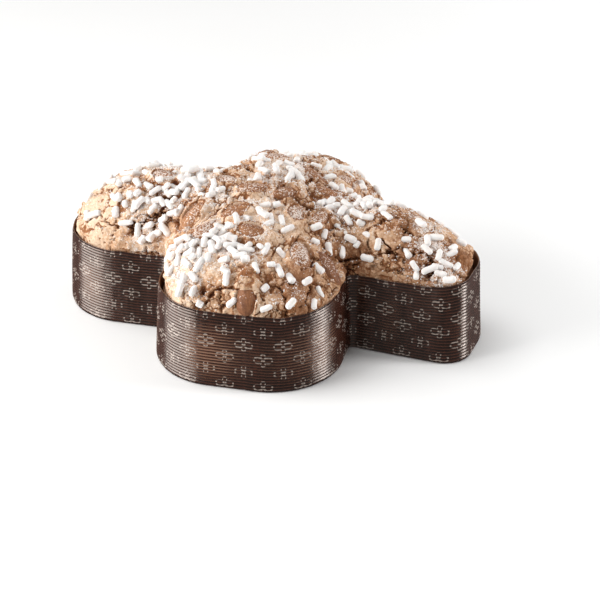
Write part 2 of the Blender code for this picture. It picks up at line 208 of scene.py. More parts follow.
# The almonds.
ALMOND_SIDES = ALMOND_LENGTH, ALMOND_WIDTH, ALMOND_THICKNESS = mm(24, 14, 9.5)
ALMOND_TAPER, ALMOND_TAPER_POWER = 0.42, 2.2
ALMOND_SUNK = 1.2 * MM
ALMONDS = (
    Almond(*mm(7, -91), 97, 4, 0.96, 0.9, 0.1),
    Almond(*mm(48.5, -49), -20, 4, 1.1, 1.0, 0.1),
    Almond(*mm(32, -57), 110, 0, 1.06, 0.4, 0.8),
    Almond(*mm(1, -51), -7, 0, 1.0, 0.4, 0.2),
    Almond(*mm(-13, -34), 201, 0, 0.98, 0.4, 0.2),
    Almond(*mm(-44, -33), 50, 4, 1.1, 0.1, 0.3),
    Almond(*mm(-31, -49), 56, 0, 0.86, 0.4, 0.7),
    Almond(*mm(-9, -12), 14, 0, 0.94, 0.4, 0.5),
    Almond(*mm(12, -9), 232, 16, 0.94, 0.6, 0.3),
    Almond(*mm(22, -26), 290, 0, 0.82, 0.4, 0.8),
    Almond(*mm(36, -19), 75, 0, 0.82, 0.4, 0.8),
    Almond(*mm(21, 23), -20, 0, 0.9, 0.5, 0.3),
    Almond(*mm(35, 8), 10, 0, 0.98, 0.6, 0.2),
    Almond(*mm(-29, -2), -11, 0, 0.9, 0.4, 0.8),
    Almond(*mm(-9, 36), 6, 4, 0.95, 0.4, 0.7),
    Almond(*mm(-71, 0), -20, 3, 0.9, 0.4, 0.7),
    Almond(*mm(14, 45), 30, 0, 0.86, 0.4, 0.7),
    Almond(*mm(-24, 15), 20, 4, 0.86, 0.5, 0.4),
    Almond(*mm(38, 40), 65, 4, 0.9, 0.4, 0.7),
    Almond(*mm(-22, 68), 100, 3, 1.0, 0.4, 0.5),
    Almond(*mm(22, 76), 40, 3, 1.02, 0.6, 0.3),
    Almond(*mm(92, 21), 170, 3, 0.96, 0.5, 0.4),
    Almond(*mm(-96, 35), 130, 3, 0.98, 0.5, 0.4),
)
ALMOND_SEGMENTS, ALMOND_ROWS = 44, 30
WRINKLE, ALMOND_LUMPS = mm(0.07, 0.3)
WRINKLE_LAYERS = ((0.7, 1.6, 100), (0.6, 0.8, 101))

# The sugar nibs that the part has.
NIB_WIDTH = mm(3.4, 4.5)
NIB_LENGTH = mm(7.5, 11.5)
NIB_SEED = 5
NIB_EDGE = 4.5 * MM
NIB_RAISED = 0.18
TRIES_FOR_EACH_NIB = 60
SCATTER_REACH = (135, 97)  # in millimetres along x and y
NIB_SPACING = 5.2 * MM
SCATTER_SPACING = 10.5 * MM
SCATTERED_NIBS = 56
NIB_PATCHES = (  # x, y and spread in millimetres, then how many nibs
    (-22, -58, 8, 8),
    (-40, -66, 8, 7),
    (-72, -15, 11, 9),
    (-50, -8, 8, 4),
    (-76, -33, 6, 3),
    (0, -66, 6, 4),
    (-3, 2, 6, 4),
    (14, 24, 6, 2),
    (47, -6, 7, 4),
    (60, 8, 8, 4),
    (-32, -84, 6, 3),
    (106, -21, 10, 4),
    (114, -32, 5, 2),
)

# Smaller nibs between and on top of them.
SMALL_NIB_SEED = 23
SMALL_NIB_WIDTH = mm(3.5, 4.7)
SMALL_NIB_LENGTH = mm(4.8, 10.2)
SMALL_NIB_SPACING = 3.9 * MM
SINGLE_NIBS = (  # the pixel that shows each nib that lies alone, then its heading in degrees
    (264, 286, 60),
    (292, 287, 20),
    (307, 284, 60),
    (315, 304, 105),
    (291, 309, 75),
    (265, 308, 30),
    (200, 299, 160),
    (227, 279, 100),
    (281, 270, 110),
    (271, 266, 15),
    (281, 251, 160),
    (286, 257, 150),
    (130, 244, 100),
    (141, 245, 60),
    (151, 243, 75),
    (119, 197, 110),
    (140, 205, 130),
    (173, 240, 120),
    (181, 247, 100),
    (257, 204, 100),
    (239, 225, 60),
    (282, 221, 120),
    (297, 224, 15),
    (317, 231, 35),
    (315, 242, 15),
    (342, 253, 105),
    (357, 248, 75),
    (367, 260, 170),
    (381, 248, 90),
    (400, 239, 45),
    (408, 247, 120),
    (426, 251, 150),
    (414, 267, 145),
    (437, 238, 10),
    (421, 223, 140),
    (452, 254, 50),
    (402, 277, 0),
    (416, 279, 100),
    (439, 278, 55),
    (449, 283, 5),
)
SMALL_NIB_PATCHES = (  # x, y and spread in millimetres, then how many nibs
    (-24, -55, 4.5, 13),
    (-33, -66, 4, 5),
    (-46, -57, 4, 4),
    (-34, -86, 4, 2),
    (-1, -64, 4, 5),
    (-14, -49, 4, 3),
    (-66, -17, 6, 12),
    (-74, -34, 4, 2),
    (-56, -6, 5, 8),
    (-90, -20, 8, 3),
    (-110, -8, 8, 3),
    (-36, -16, 5, 5),
    (-2, -3, 6, 6),
    (3, -31, 5, 5),
    (14, 22, 6, 5),
    (38, -34, 6, 2),
    (46, -3, 6, 6),
    (56, -14, 7, 5),
    (64, 6, 7, 4),
    (106, -21, 8, 1),
    (32, 50, 9, 5),
    (-30, 40, 10, 5),
    (-88, 22, 10, 5),
    (80, 18, 10, 3),
    (0, 78, 12, 6),
    (-12, 30, 8, 5),
    (8, 60, 12, 7),
    (30, 30, 8, 4),
)
SMALL_SCATTERED_NIBS = 16
NIB_AROUND, NIB_ALONG = 12, 13
NIB_BUMP = 0.27 * MM
NIB_LAYERS = ((1.0, 2.4, 110), (0.6, 1.3, 111))
NIB_CLEAR = 3 * MM  # a nib lies at least this far above the rim
PILE_REACH, PILE_STEP = mm(5.2, 1.7)  # a nib lies on those nearer than this, and is lifted for each
SMALL_NIB_EDGE = 1.2 * MM
TRIES_FOR_EACH_SMALL_NIB = 40

# Grains of sugar and crumbs of crust.
GRAINS, GRAIN_SEED = 9400, 31
GRAIN_SIZE = mm(0.35, 1.1)
CRUMBS, CRUMB_SEED = 1500, 37
CRUMB_SIZE = mm(0.6, 1.7)

# The photograph's view.
IMAGE_SIZE = 600
FOCAL_PIXELS = 2015
VIEW_AZIMUTH, VIEW_ELEVATION = 14.6, 27.75
VIEW_DISTANCE = 1300 * MM
VIEW_TARGET = Vector(mm(0, 0, 45))
TARGET_PIXEL = (273.05, 251.16)
SENSOR_WIDTH = 36.0
GRID_REACH = (136, 98)  # of the millimetre grid along x and y that is looked up in the photograph
SEEN_WITHIN = 1.5  # pixels, or the nearest point where none is so near

# The rosettes' petals: x, y, half width and half height in millimetres, from the rosette's middle.
PETALS = ((3.1, 0.0, 2.4, 1.9), (0.0, 2.6, 1.3, 1.5))
PETAL_ROUNDNESS = 2.6

# The studio: a wide low softbox at the front left, a large high one, a strip at the right for the paper's
# sheen and a low softbox behind.
SOFTBOXES = (  # name, watts, size and place in metres, and tint
    ("left_softbox", 12.2, (0.95, 0.5), (-0.87, -0.41, 0.41), (1, 0.985, 0.965)),
    ("overhead", 86, (3.0, 3.0), (-1.5, -0.15, 4.3), (1, 1, 1)),
    ("right_strip", 5.8, (0.26, 0.5), (1.0, 0.12, 0.42), (1, 1, 1)),
    ("back_softbox", 3.2, (1.2, 0.45), (0.62, 0.92, 0.40), (1, 1, 1)),
)
LIGHT_TARGET = Vector((0, 0, 0.04))
ROOM_BRIGHTNESS = 0.23
FLOOR_HALF = 6.0


def turned(x, y, degrees):
    """How far points lie along and across a direction in plan."""
    cos, sin = math.cos(math.radians(degrees)), math.sin(math.radians(degrees))
    return x * cos + y * sin, y * cos - x * sin


def rounded_rectangle(x, y, arm):
    """Signed distance from points to an arm's edge, negative inside it."""
    u, v = turned(x - arm.centre[0], y - arm.centre[1], arm.turn)
    right, left = np.where(v > 0, *arm.radii[:2]), np.where(v > 0, *arm.radii[2:])
    radius = np.where(u > 0, right, left)
    over_u = np.abs(u) - arm.half_size[0] + radius
    over_v = np.abs(v) - arm.half_size[1] + radius
    outside = np.hypot(np.maximum(over_u, 0), np.maximum(over_v, 0))
    return outside + np.minimum(np.maximum(over_u, over_v), 0) - radius


def plan_distance(x, y):
    """Signed distance to the dove's outline: the four arms, blended at the inner corners."""
    distance = rounded_rectangle(x, y, ARMS[0])
    for arm in ARMS[1:]:
        other = rounded_rectangle(x, y, arm)
        mix = np.clip(0.5 + 0.5 * (other - distance) / INNER_CORNER, 0, 1)
        distance = other * (1 - mix) + distance * mix - INNER_CORNER * mix * (1 - mix)
    return distance


def trace_outline():
    """The dove's rim as points on rays from the middle, anticlockwise."""
    angles = np.linspace(0, 2 * math.pi, OUTLINE_RAYS, endpoint=False)
    cos, sin = np.cos(angles), np.sin(angles)
    near, far = np.zeros(OUTLINE_RAYS), np.full(OUTLINE_RAYS, 250 * MM)
    for _ in range(40):
        middle = (near + far) / 2
        inside = plan_distance(middle * cos, middle * sin) < 0
        near, far = np.where(inside, middle, near), np.where(inside, far, middle)
    return np.stack([near * cos, near * sin], axis=1)


OUTLINE = trace_outline()


def stations(count):
    """Points along the outline, closer together where it bends."""
    step = np.roll(OUTLINE, -1, axis=0) - OUTLINE
    heading = np.unwrap(np.arctan2(step[:, 1], step[:, 0]))
    bend = np.abs(np.diff(heading, append=heading[0] + 2 * math.pi))
    measure = np.concatenate([[0], np.cumsum(np.hypot(*step.T) + TURN_WEIGHT * bend)])
    wanted = np.linspace(0, measure[-1], count, endpoint=False)
    closed = np.vstack([OUTLINE, OUTLINE[:1]])
    return np.stack([np.interp(wanted, measure, closed[:, axis]) for axis in (0, 1)], axis=1)


def outward(points):
    """Unit normals of a closed outline."""
    along = np.roll(points, -1, axis=0) - np.roll(points, 1, axis=0)
    normal = np.stack([along[:, 1], -along[:, 0]], axis=1)
    return normal / np.linalg.norm(normal, axis=1, keepdims=True)


def smooth_step(t):
    t = np.clip(t, 0, 1)
    return t * t * (3 - 2 * t)


def rim_height(x):
    """The height of the paper's rim, which rises towards the tail's end."""
    return RIM_HEIGHT + TAIL_LIFT * smooth_step((x - TAIL_LIFT_FROM) / TAIL_LIFT_OVER)


def glaze_plates():
    """The middles of the plates that the glaze cracked into, and how far each stands up."""
    random = np.random.default_rng(PLATE_SEED)
    columns, rows = np.meshgrid(np.arange(-8, 9), np.arange(-6, 7))
    grid = np.stack([columns + 0.5 * (rows % 2), rows], axis=-1).reshape(-1, 2).astype(float)
    jitter = random.uniform(-PLATE_JITTER, PLATE_JITTER, grid.shape)
    return (grid + jitter) * PLATE_SIZE, random.uniform(-1, 1, len(grid)) * PLATE_STEP


PLATES, PLATE_HEIGHTS = glaze_plates()


def plate_borders(x, y):
    """How far points are from the crack beside their plate, and how far that plate stands up."""
    wave_x, wave_y = x / WARP_LENGTH, y / WARP_LENGTH
    u = x + WARP_REACH * np.sin(wave_y + 1.3 * np.sin(wave_x))
    v = y + WARP_REACH * np.sin(1.1 * wave_x + 1.7 * np.sin(wave_y))
    away = np.hypot(u[..., None] - PLATES[:, 0], v[..., None] - PLATES[:, 1])
    nearest = np.argpartition(away, 1, axis=-1)[..., :2]
    pair = np.sort(np.take_along_axis(away, nearest, axis=-1), axis=-1)
    return pair[..., 1] - pair[..., 0], PLATE_HEIGHTS[away.argmin(axis=-1)]


def open_cracks(x, y):
    """1 where the cracks between plates gape, 0 where they are shut."""
    patch = np.sin(x / CRACK_PATCHES[0] + 2.1) * np.sin(y / CRACK_PATCHES[1] + 0.6)
    return smooth_step(0.75 + 0.75 * patch)


def glaze_lumps(x, y):
    lump_x, lump_y = x / LUMP_LENGTH, y / LUMP_LENGTH
    return LUMP_HEIGHT * np.sin(lump_x + 2 * np.sin(lump_y)) * np.cos(1.2 * lump_y)


def glaze_relief(x, y):
    """Cracks, the steps between plates, and small lumps."""
    border, stand = plate_borders(x, y)
    beside = smooth_step(border / CRACK_WIDTH)
    return stand * beside + glaze_lumps(x, y) - CRACK_DEPTH * open_cracks(x, y) * (1 - beside)


def nearest_rim(x, y):
    """How far points inside the rim are from it, and which of its points is nearest."""
    flat_x, flat_y = np.ravel(x), np.ravel(y)
    distance, nearest = np.empty(len(flat_x)), np.empty(len(flat_x), dtype=int)
    for start in range(0, len(flat_x), 4000):
        part = slice(start, start + 4000)
        away = np.hypot(flat_x[part, None] - OUTLINE[:, 0], flat_y[part, None] - OUTLINE[:, 1])
        nearest[part] = away.argmin(axis=1)
        distance[part] = away.min(axis=1)
    return distance.reshape(np.shape(x)), nearest


def depth_inside(x, y):
    """How far points inside the rim are from it."""
    return nearest_rim(x, y)[0]


def dome_height(x, y):
    """The baked dome's smooth top."""
    inside = np.clip(depth_inside(x, y) / SHOULDER_WIDTH, 0, 1)
    crown = sum(
        height * np.exp(-((x - cx) ** 2 + (y - cy) ** 2) / (2 * spread**2))
        for cx, cy, height, spread in CROWNS
    )
    shoulder = (1 - (1 - inside) ** SHOULDER_ROUNDNESS) ** (1 / SHOULDER_ROUNDNESS)
    return BREAD_EDGE + shoulder * (SHOULDER_RISE + crown)


def view_axes():
    """The photograph's directions: from the target to the camera, to the right, and up."""
    azimuth, elevation = math.radians(VIEW_AZIMUTH), math.radians(VIEW_ELEVATION)
    level = Vector((math.sin(azimuth), -math.cos(azimuth), 0))
    back = level * math.cos(elevation) + Vector((0, 0, math.sin(elevation)))
    right = Vector((math.cos(azimuth), math.sin(azimuth), 0))
    return back, right, back.cross(right)


def seen_dome():
    """A millimetre grid of the dome in plan, the pixels that show it and how near the camera it is."""
    across, along = (np.arange(-reach, reach + 1) for reach in GRID_REACH)
    plan = np.stack(np.meshgrid(across, along), axis=-1).reshape(-1, 2)
    plan = plan[plan_distance(*(plan * MM).T) < 0]
    x, y = (plan * MM).T
    points = np.column_stack([x, y, dome_height(x, y)]) - np.array(VIEW_TARGET)
    near, right, up = (points @ np.array(axis) for axis in view_axes())
    scale = FOCAL_PIXELS / (VIEW_DISTANCE - near)
    return plan, np.column_stack([TARGET_PIXEL[0] + right * scale, TARGET_PIXEL[1] - up * scale]), near


DOME_PLAN, DOME_PIXELS, DOME_NEARNESS = seen_dome()


def seen_places(pixels):
    """The places in plan, in whole millimetres, of the dome that the photograph shows at these pixels."""
    places = []
    for pixel in pixels:
        away = np.hypot(*(DOME_PIXELS - pixel).T)
        close = np.flatnonzero(away <= max(SEEN_WITHIN, away.min()))
        places.append(DOME_PLAN[close[DOME_NEARNESS[close].argmax()]])
    return np.array(places)


def crust_height(x, y):
    """The dome with its glaze, which thins out at the edge."""
    fade = smooth_step(depth_inside(x, y) / GLAZE_FADE)
    return dome_height(x, y) + fade * glaze_relief(x, y)


def dome_normal(x, y):
    """The dome's unit normal at one point."""
    reach = 4 * MM
    across = np.array([x + reach, x - reach, x, x])
    along = np.array([y, y, y + reach, y - reach])
    east, west, north, south = dome_height(across, along)
    return Vector(((west - east) / (2 * reach), (south - north) / (2 * reach), 1)).normalized()


def edge_inset(points):
    """How far the crust's edge stands inside the paper."""
    inset = np.full(len(points), PAPER + FIT_GAP)
    for x, y, spread, gap in PULLED_IN:
        inset += gap * np.exp(-((points[:, 0] - x) ** 2 + (points[:, 1] - y) ** 2) / (2 * spread**2))
    return inset


def lattice(cells, seed):
    """A fixed random number from -1 to 1 for each whole-number cell."""
    mixed = cells[..., 0] * 73856093 ^ cells[..., 1] * 19349663 ^ cells[..., 2] * 83492791
    mixed = (mixed ^ (seed * 2654435761)) & 0xFFFFFFFF
    mixed = ((mixed ^ (mixed >> 15)) * 2246822519) & 0xFFFFFFFF
    mixed = ((mixed ^ (mixed >> 13)) * 3266489917) & 0xFFFFFFFF
    return ((mixed ^ (mixed >> 16)) & 0xFFFF) / 32767.5 - 1


def waves(points, length, seed):
    """Smooth random values from -1 to 1, with hills about this far apart."""
    scaled = points / length
    base = np.floor(scaled).astype(np.int64)
    part = scaled - base
    part = part * part * (3 - 2 * part)
    total = np.zeros(len(points))
    for corner in itertools.product((0, 1), repeat=3):
        weight = np.where(corner, part, 1 - part).prod(axis=1)
        total += weight * lattice(base + np.array(corner), seed)
    return total


def sum_of_waves(points, layers):
    """Layers of waves, each with its height, its length in millimetres and its seed."""
    return sum(height * waves(points, length * MM, seed) for height, length, seed in layers)


class Graph:
    """A material's nodes, written in short calls."""

    def __init__(self, name, **settings):
        self.material = bpy.data.materials.new(name)
        self.material.use_nodes = True
        self.tree = self.material.node_tree
        self.shader = self.tree.nodes["Principled BSDF"]
        for socket, value in settings.items():
            self.put(self.shader.inputs[socket.replace("_", " ")], value)
        self.place = self.node("TexCoord").outputs["Object"]

    def put(self, socket, value):
        if isinstance(value, bpy.types.NodeSocket):
            self.tree.links.new(value, socket)
        else:
            socket.default_value = value

    def node(self, kind, inputs=None, **properties):
        made = self.tree.nodes.new("ShaderNode" + kind)
        for name, value in properties.items():
            setattr(made, name, value)
        for socket, value in (inputs or {}).items():
            self.put(made.inputs[socket], value)
        return made

    def math(self, operation, *values):
        return self.node("Math", dict(enumerate(values)), operation=operation).outputs[0]

    def times(self, first, second):
        return self.math("MULTIPLY", first, second)

    def scaled(self, value, factor, start):
        return self.math("MULTIPLY_ADD", value, factor, start)

    def add(self, total, *parts):
        """A total and more parts, each with its factor."""
        for value, factor in parts:
            total = self.math("ADD", total, self.times(value, factor))
        return total

    def apart(self, first, second):
        return self.math("ABSOLUTE", self.math("SUBTRACT", first, second))

    def attribute(self, name):
        return self.node("Attribute", attribute_name=name).outputs["Fac"]

    def noise(self, length, detail=3.0, roughness=0.55, stretch=None):
        """Noise from about 0.3 to 0.7, with features of this length in metres."""
        place = self.place
        if stretch:
            place = self.node("Mapping", {"Vector": place, "Scale": stretch}).outputs[0]
        sockets = {"Vector": place, "Scale": 1 / length, "Detail": detail, "Roughness": roughness}
        return self.node("TexNoise", sockets).outputs["Fac"]

    def voronoi(self, size, wander, feature):
        """Distances in cells of this size, their places shifted by noise."""
        noise = self.node("TexNoise", {"Vector": self.place, "Scale": 1 / size, "Detail": 2.0})
        sockets = {0: noise.outputs["Color"], 1: (0.5, 0.5, 0.5)}
        shift = self.node("VectorMath", sockets, operation="SUBTRACT").outputs[0]
        sockets = {0: shift, 1: (wander * 2,) * 3, 2: self.place}
        place = self.node("VectorMath", sockets, operation="MULTIPLY_ADD").outputs[0]
        cells = self.node("TexVoronoi", {"Vector": place, "Scale": 1 / size}, feature=feature)
        return cells.outputs["Distance"]

    def between(self, value, low, high, most=1.0):
        """0 at low, the most at high, and smooth between."""
        sockets = {"Value": value, "From Min": low, "From Max": high, "To Max": most}
        return self.node("MapRange", sockets, interpolation_type="SMOOTHSTEP").outputs[0]

    def mix(self, share, first, second):
        made = self.node("Mix", data_type="RGBA")
        for index, value in ((0, share), (6, first), (7, second)):
            self.put(made.inputs[index], value)
        return made.outputs[2]

    def bump(self, height, distance, strength=1.0, after=None):
        sockets = {"Height": height, "Distance": distance, "Strength": strength}
        if after:
            sockets["Normal"] = after
        return self.node("Bump", sockets).outputs[0]

    def finish(self, **inputs):
        for socket, value in inputs.items():
            self.put(self.shader.inputs[socket.replace("_", " ")], value)
        return self.material


def colour(red, green, blue):
    """An sRGB colour, 0 to 255, as the linear one that a node takes."""
    linear = [
        value / 255 / 12.92 if value <= 10 else ((value / 255 + 0.055) / 1.055) ** 2.4
        for value in (red, green, blue)
    ]
    return (*linear, 1)


def glaze_material():
    """Dry almond glaze: beige and gritty, brown in its cracks and hollows, dusted with sugar; painted shade
    darkens the seams round almonds and the browned places at the right.
    """
    graph = Graph("sugared_glaze", Roughness=0.9, Specular_IOR_Level=0.1)
    broad, medium = graph.noise(17 * MM, 2), graph.noise(3.0 * MM, 3)
    fine, sandy = graph.noise(1.3 * MM, 2, 0.7), graph.noise(0.9 * MM, 1)
    grit = graph.voronoi(1.7 * MM, 1.2 * MM, feature="F1")
    borders = graph.voronoi(8 * MM, 5 * MM, feature="DISTANCE_TO_EDGE")
    patch = graph.noise(15 * MM, 2)
    line = graph.times(graph.between(borders, 0.065, 0.02), graph.between(patch, 0.48, 0.62))
    coarse_grit = graph.between(grit, 0.35, 0.75)
    # The toast mask browns the glaze, and in the browned places at the right it is also painted shade.
    toast_and_shade = graph.add(graph.attribute("toast_and_shade"), (broad, 0.7), (medium, 0.8), (coarse_grit, 0.35))
    base = graph.mix(graph.between(toast_and_shade, 0.6, 1.35), colour(230, 201, 174), colour(202, 160, 126))
    base = graph.mix(graph.between(toast_and_shade, 1.2, 1.85), base, colour(154, 109, 79))
    base = graph.mix(graph.between(fine, 0.55, 0.66, most=0.45), base, colour(158, 108, 75))
    # The crack mask also holds the seams round almonds, which are painted shade.
    crack = graph.math("ADD", graph.attribute("crack"), graph.scaled(fine, 0.6, -0.3))
    crack = graph.math("MAXIMUM", crack, graph.times(line, 0.65))
    base = graph.mix(graph.between(crack, 0.2, 0.45), base, colour(148, 99, 66))
    base = graph.mix(graph.between(crack, 0.6, 0.95), base, colour(82, 47, 32))
    dust = graph.math("ADD", graph.attribute("powder"), graph.scaled(sandy, 2.0, -1.0))
    dust = graph.math("ADD", dust, graph.scaled(medium, 1.4, -0.7))
    dust = graph.math("SUBTRACT", dust, graph.between(grit, 0.3, 0.8, most=0.3))
    dust = graph.times(graph.between(dust, 0.3, 1.0), graph.scaled(line, -0.7, 0.85))
    base = graph.mix(dust, base, colour(244, 234, 228))
    rough = graph.bump(medium, 0.5 * MM, 0.4)
    rough = graph.bump(line, -0.7 * MM, 0.8, rough)
    rough = graph.bump(grit, -0.45 * MM, 0.6, rough)
    rough = graph.bump(fine, 0.45 * MM, 0.9, rough)
    rough = graph.bump(sandy, 0.3 * MM, 0.9, rough)
    return graph.finish(Base_Color=base, Normal=rough)


def sugar_material():
    """Matt white sugar, a little translucent."""
    graph = Graph("pressed_sugar", Roughness=0.62, Subsurface_Weight=0.25, Subsurface_Scale=1.6 * MM)
    graph.put(graph.shader.inputs["Subsurface Radius"], (1.0, 0.85, 0.75))
    grain, patch = graph.noise(0.55 * MM, 3, 0.65), graph.noise(4 * MM, 2)
    white = graph.mix(graph.between(patch, 0.35, 0.7), colour(250, 246, 243), colour(243, 237, 233))
    white = graph.mix(graph.between(grain, 0.6, 0.8), white, colour(226, 217, 210))
    return graph.finish(Base_Color=white, Normal=graph.bump(grain, 0.25 * MM, 0.6))


def almond_material():
    """Baked almond skin: lengthwise wrinkles, brown to tan, with sugar dust on top."""
    graph = Graph("almond_skin", Roughness=0.66)
    medium, fine = graph.noise(3 * MM, 4), graph.noise(1.1 * MM, 2, 0.6)
    shade = graph.add(graph.times(graph.attribute("ridge"), 0.2), (medium, 0.6), (fine, 0.35))
    lit = graph.between(shade, 0.2, 0.75)
    pale = graph.mix(lit, colour(132, 82, 47), colour(183, 128, 82))
    dark = graph.mix(lit, colour(104, 60, 34), colour(152, 98, 60))
    base = graph.mix(graph.attribute("tone"), pale, dark)
    dust = graph.math("ADD", graph.attribute("frost"), graph.scaled(fine, 2.8, -1.4))
    base = graph.mix(graph.between(dust, 0.5, 0.7, most=0.75), base, colour(240, 229, 220))
    rough = graph.bump(medium, 0.4 * MM, 0.4)
    rough = graph.bump(fine, 0.22 * MM, 0.7, rough)
    return graph.finish(Base_Color=base, Normal=rough)


def crumb_material():
    graph = Graph("crust_crumb", Roughness=0.9)
    medium = graph.noise(2.5 * MM, 3)
    base = graph.mix(graph.between(medium, 0.35, 0.65), colour(138, 90, 56), colour(214, 172, 128))
    return graph.finish(Base_Color=base, Normal=graph.bump(graph.noise(0.5 * MM), 0.2 * MM, 0.7))


def rosette_lines(graph):
    """1 on the lines of a four-petalled rosette, printed in columns that step down by half."""
    place = graph.node("UVMap", uv_map="print").outputs[0]
    column, row = graph.node("SeparateXYZ", {0: place}).outputs[:2]
    drop = graph.times(graph.math("FLOORED_MODULO", graph.math("FLOOR", column), 2.0), 0.5)
    across = graph.times(graph.apart(graph.math("FRACT", column), 0.5), ROSETTE_PITCH / MM)
    row = graph.math("FRACT", graph.math("ADD", row, drop))
    up = graph.times(graph.apart(row, 0.5), ROSETTE_PERIOD / MM)

    def outside(x, y, wide, tall):
        """How far outside a petal's edge, about in millimetres."""
        along = graph.math("POWER", graph.math("DIVIDE", graph.apart(across, x), wide), PETAL_ROUNDNESS)
        above = graph.math("POWER", graph.math("DIVIDE", graph.apart(up, y), tall), PETAL_ROUNDNESS)
        reach = graph.math("POWER", graph.math("ADD", along, above), 1 / PETAL_ROUNDNESS)
        return graph.times(graph.math("SUBTRACT", reach, 1.0), tall)

    edge = graph.math("ABSOLUTE", graph.math("MINIMUM", *(outside(*petal) for petal in PETALS)))
    outline = graph.between(edge, 0.48, 0.2)
    cross = graph.between(graph.apart(across, up), 0.42, 0.18)
    near = graph.between(graph.math("ADD", across, up), 2.8, 2.4)
    return graph.math("MAXIMUM", outline, graph.times(cross, near))


def paper_material():
    """Dark brown glossy paper, ribbed, printed with grey rosettes, with painted shade in the rib valleys, a
    painted highlight on the crests, and the pale inside brightened as painted light.
    """
    graph = Graph("ribbed_paper", Specular_IOR_Level=0.75, Specular_Tint=(1.0, 0.86, 0.78, 1.0))
    crest = graph.attribute("crest")
    streak = graph.noise(2.6 * MM, 3, 0.6, stretch=(1.0, 1.0, 0.05))
    grain, blotch = graph.noise(0.5 * MM, 3, 0.6), graph.noise(14 * MM, 2)
    base = graph.mix(graph.between(streak, 0.35, 0.7), colour(38, 13, 8), colour(64, 27, 17))
    base = graph.mix(graph.between(blotch, 0.4, 0.7, most=0.4), base, colour(28, 10, 6))
    # Painted shade: the rib valleys darkened.
    base = graph.mix(graph.between(crest, 0.55, 0.15), base, colour(14, 6, 4))
    # Painted highlight: the rib crests lightened.
    base = graph.mix(graph.between(crest, 0.6, 1.0, most=0.45), base, colour(110, 74, 58))
    # The print fades into the rib valleys as painted shade, and the grain speckles it as wear.
    print_shade_and_wear = graph.scaled(graph.between(crest, 0.3, 0.75), 0.82, 0.03)
    print_shade_and_wear = graph.times(print_shade_and_wear, graph.scaled(graph.between(grain, 0.3, 0.6), 0.4, 0.6))
    base = graph.mix(graph.times(rosette_lines(graph), print_shade_and_wear), base, colour(184, 171, 161))
    # The pale cut at the rim is the paper's own; the pale inside is brightened as painted light where it
    # lies in shade.
    base = graph.mix(graph.attribute("cut"), base, colour(150, 112, 90))
    rough = graph.scaled(streak, 0.2, 0.13)
    return graph.finish(Base_Color=base, Roughness=rough, Normal=graph.bump(grain, 0.08 * MM, 0.5))


def floor_material():
    graph = Graph("pale_floor", Roughness=0.7)
    tint = graph.mix(graph.noise(200 * MM, 2), colour(250, 250, 249), colour(253, 253, 253))
    return graph.finish(Base_Color=tint)


def new_object(name, points, faces, finish, smooth=True):
    """An object at the origin from points and faces."""
    mesh = bpy.data.meshes.new(name)
    mesh.from_pydata([tuple(point) for point in points], [], faces)
    mesh.update()
    if smooth:
        mesh.shade_smooth()
    mesh.materials.append(finish)
    made = bpy.data.objects.new(name, mesh)
    bpy.context.scene.collection.objects.link(made)
    return made


def read(items, name, width=1, kind=float):
    """What each item of a mesh holds under this name, as an array."""
    values = np.empty(len(items) * width, dtype=kind)
    items.foreach_get(name, values)
    return values if width == 1 else values.reshape(-1, width)


def set_attribute(thing, name, values):
    thing.data.attributes.new(name, "FLOAT", "POINT").data.foreach_set("value", values)


def loaf_edge(count):
    """The crust's edge in plan."""
    points = stations(count)
    return points - outward(points) * edge_inset(points)[:, None]


def ring_shares():
    """How far out each ring of the dome lies, from 1 at the edge to 0, evenly along the surface."""
    shares = np.linspace(1, 0, 700)
    edge = loaf_edge(72)
    points = edge[None] * shares[:, None, None]
    heights = dome_height(points[..., 0], points[..., 1])
    steps = np.hypot(np.linalg.norm(np.diff(points, axis=0), axis=-1), np.diff(heights, axis=0))
    travelled = np.concatenate([[0], np.cumsum(steps.mean(axis=1))])
    return np.interp(np.linspace(0, travelled[-1], LOAF_RINGS + 1), travelled, shares)


def band(lower, upper):
    """Faces between two rings of point numbers, the upper with as many points or half as many."""
    count = len(upper)
    if len(lower) == count:
        after = lower[1:] + lower[:1], upper[1:] + upper[:1]
        return list(zip(lower, after[0], after[1], upper))
    faces = []
    for i in range(count):
        left, middle, right = lower[2 * i], lower[2 * i + 1], lower[(2 * i + 2) % len(lower)]
        after = upper[(i + 1) % count]
        faces += [(left, middle, upper[i]), (middle, after, upper[i]), (middle, right, after)]
    return faces


def joined_rings(sizes):
    """The numbers of the points in rings of these sizes, and the faces between them."""
    starts = np.cumsum([0, *sizes])
    rings = [list(range(start, stop)) for start, stop in zip(starts, starts[1:])]
    return rings, [face for lower, upper in zip(rings, rings[1:]) for face in band(lower, upper)]


def loaf_shape():
    """The smooth loaf's points and faces: foot, belt, then rings over the dome to its middle."""
    edge = loaf_edge(LOAF_STATIONS)
    rim = stations(LOAF_STATIONS)

    def wall(height):
        lean = LEAN * (1 - height / RIM_HEIGHT)
        return rim + outward(rim) * (lean - PAPER - FIT_GAP)

    bottom, leaving = PAPER + FIT_GAP, BREAD_EDGE - LEAN_IN
    rows = [(wall(bottom), bottom), (wall(leaving), leaving)]
    edge_top = dome_height(edge[:, 0], edge[:, 1])
    rows += [(edge, BREAD_EDGE + (edge_top - BREAD_EDGE) * step / EDGE_ROWS) for step in range(EDGE_ROWS)]
    for share in ring_shares()[:-1]:
        halvings = min(int(math.log2(1 / share)), COARSEST)
        points = edge[:: 2**halvings] * share
        rows.append((points, dome_height(points[:, 0], points[:, 1])))
    points = [np.column_stack([plan, np.broadcast_to(height, len(plan))]) for plan, height in rows]
    rings, walls = joined_rings([len(plan) for plan, _ in rows])
    points.append(np.array([[0, 0, dome_height(np.zeros(1), np.zeros(1))[0]]]))
    last = rings[-1]
    top = [(last[i], last[(i + 1) % len(last)], last[-1] + 1) for i in range(len(last))]
    return np.vstack(points), [tuple(reversed(rings[0])), *walls, *top]


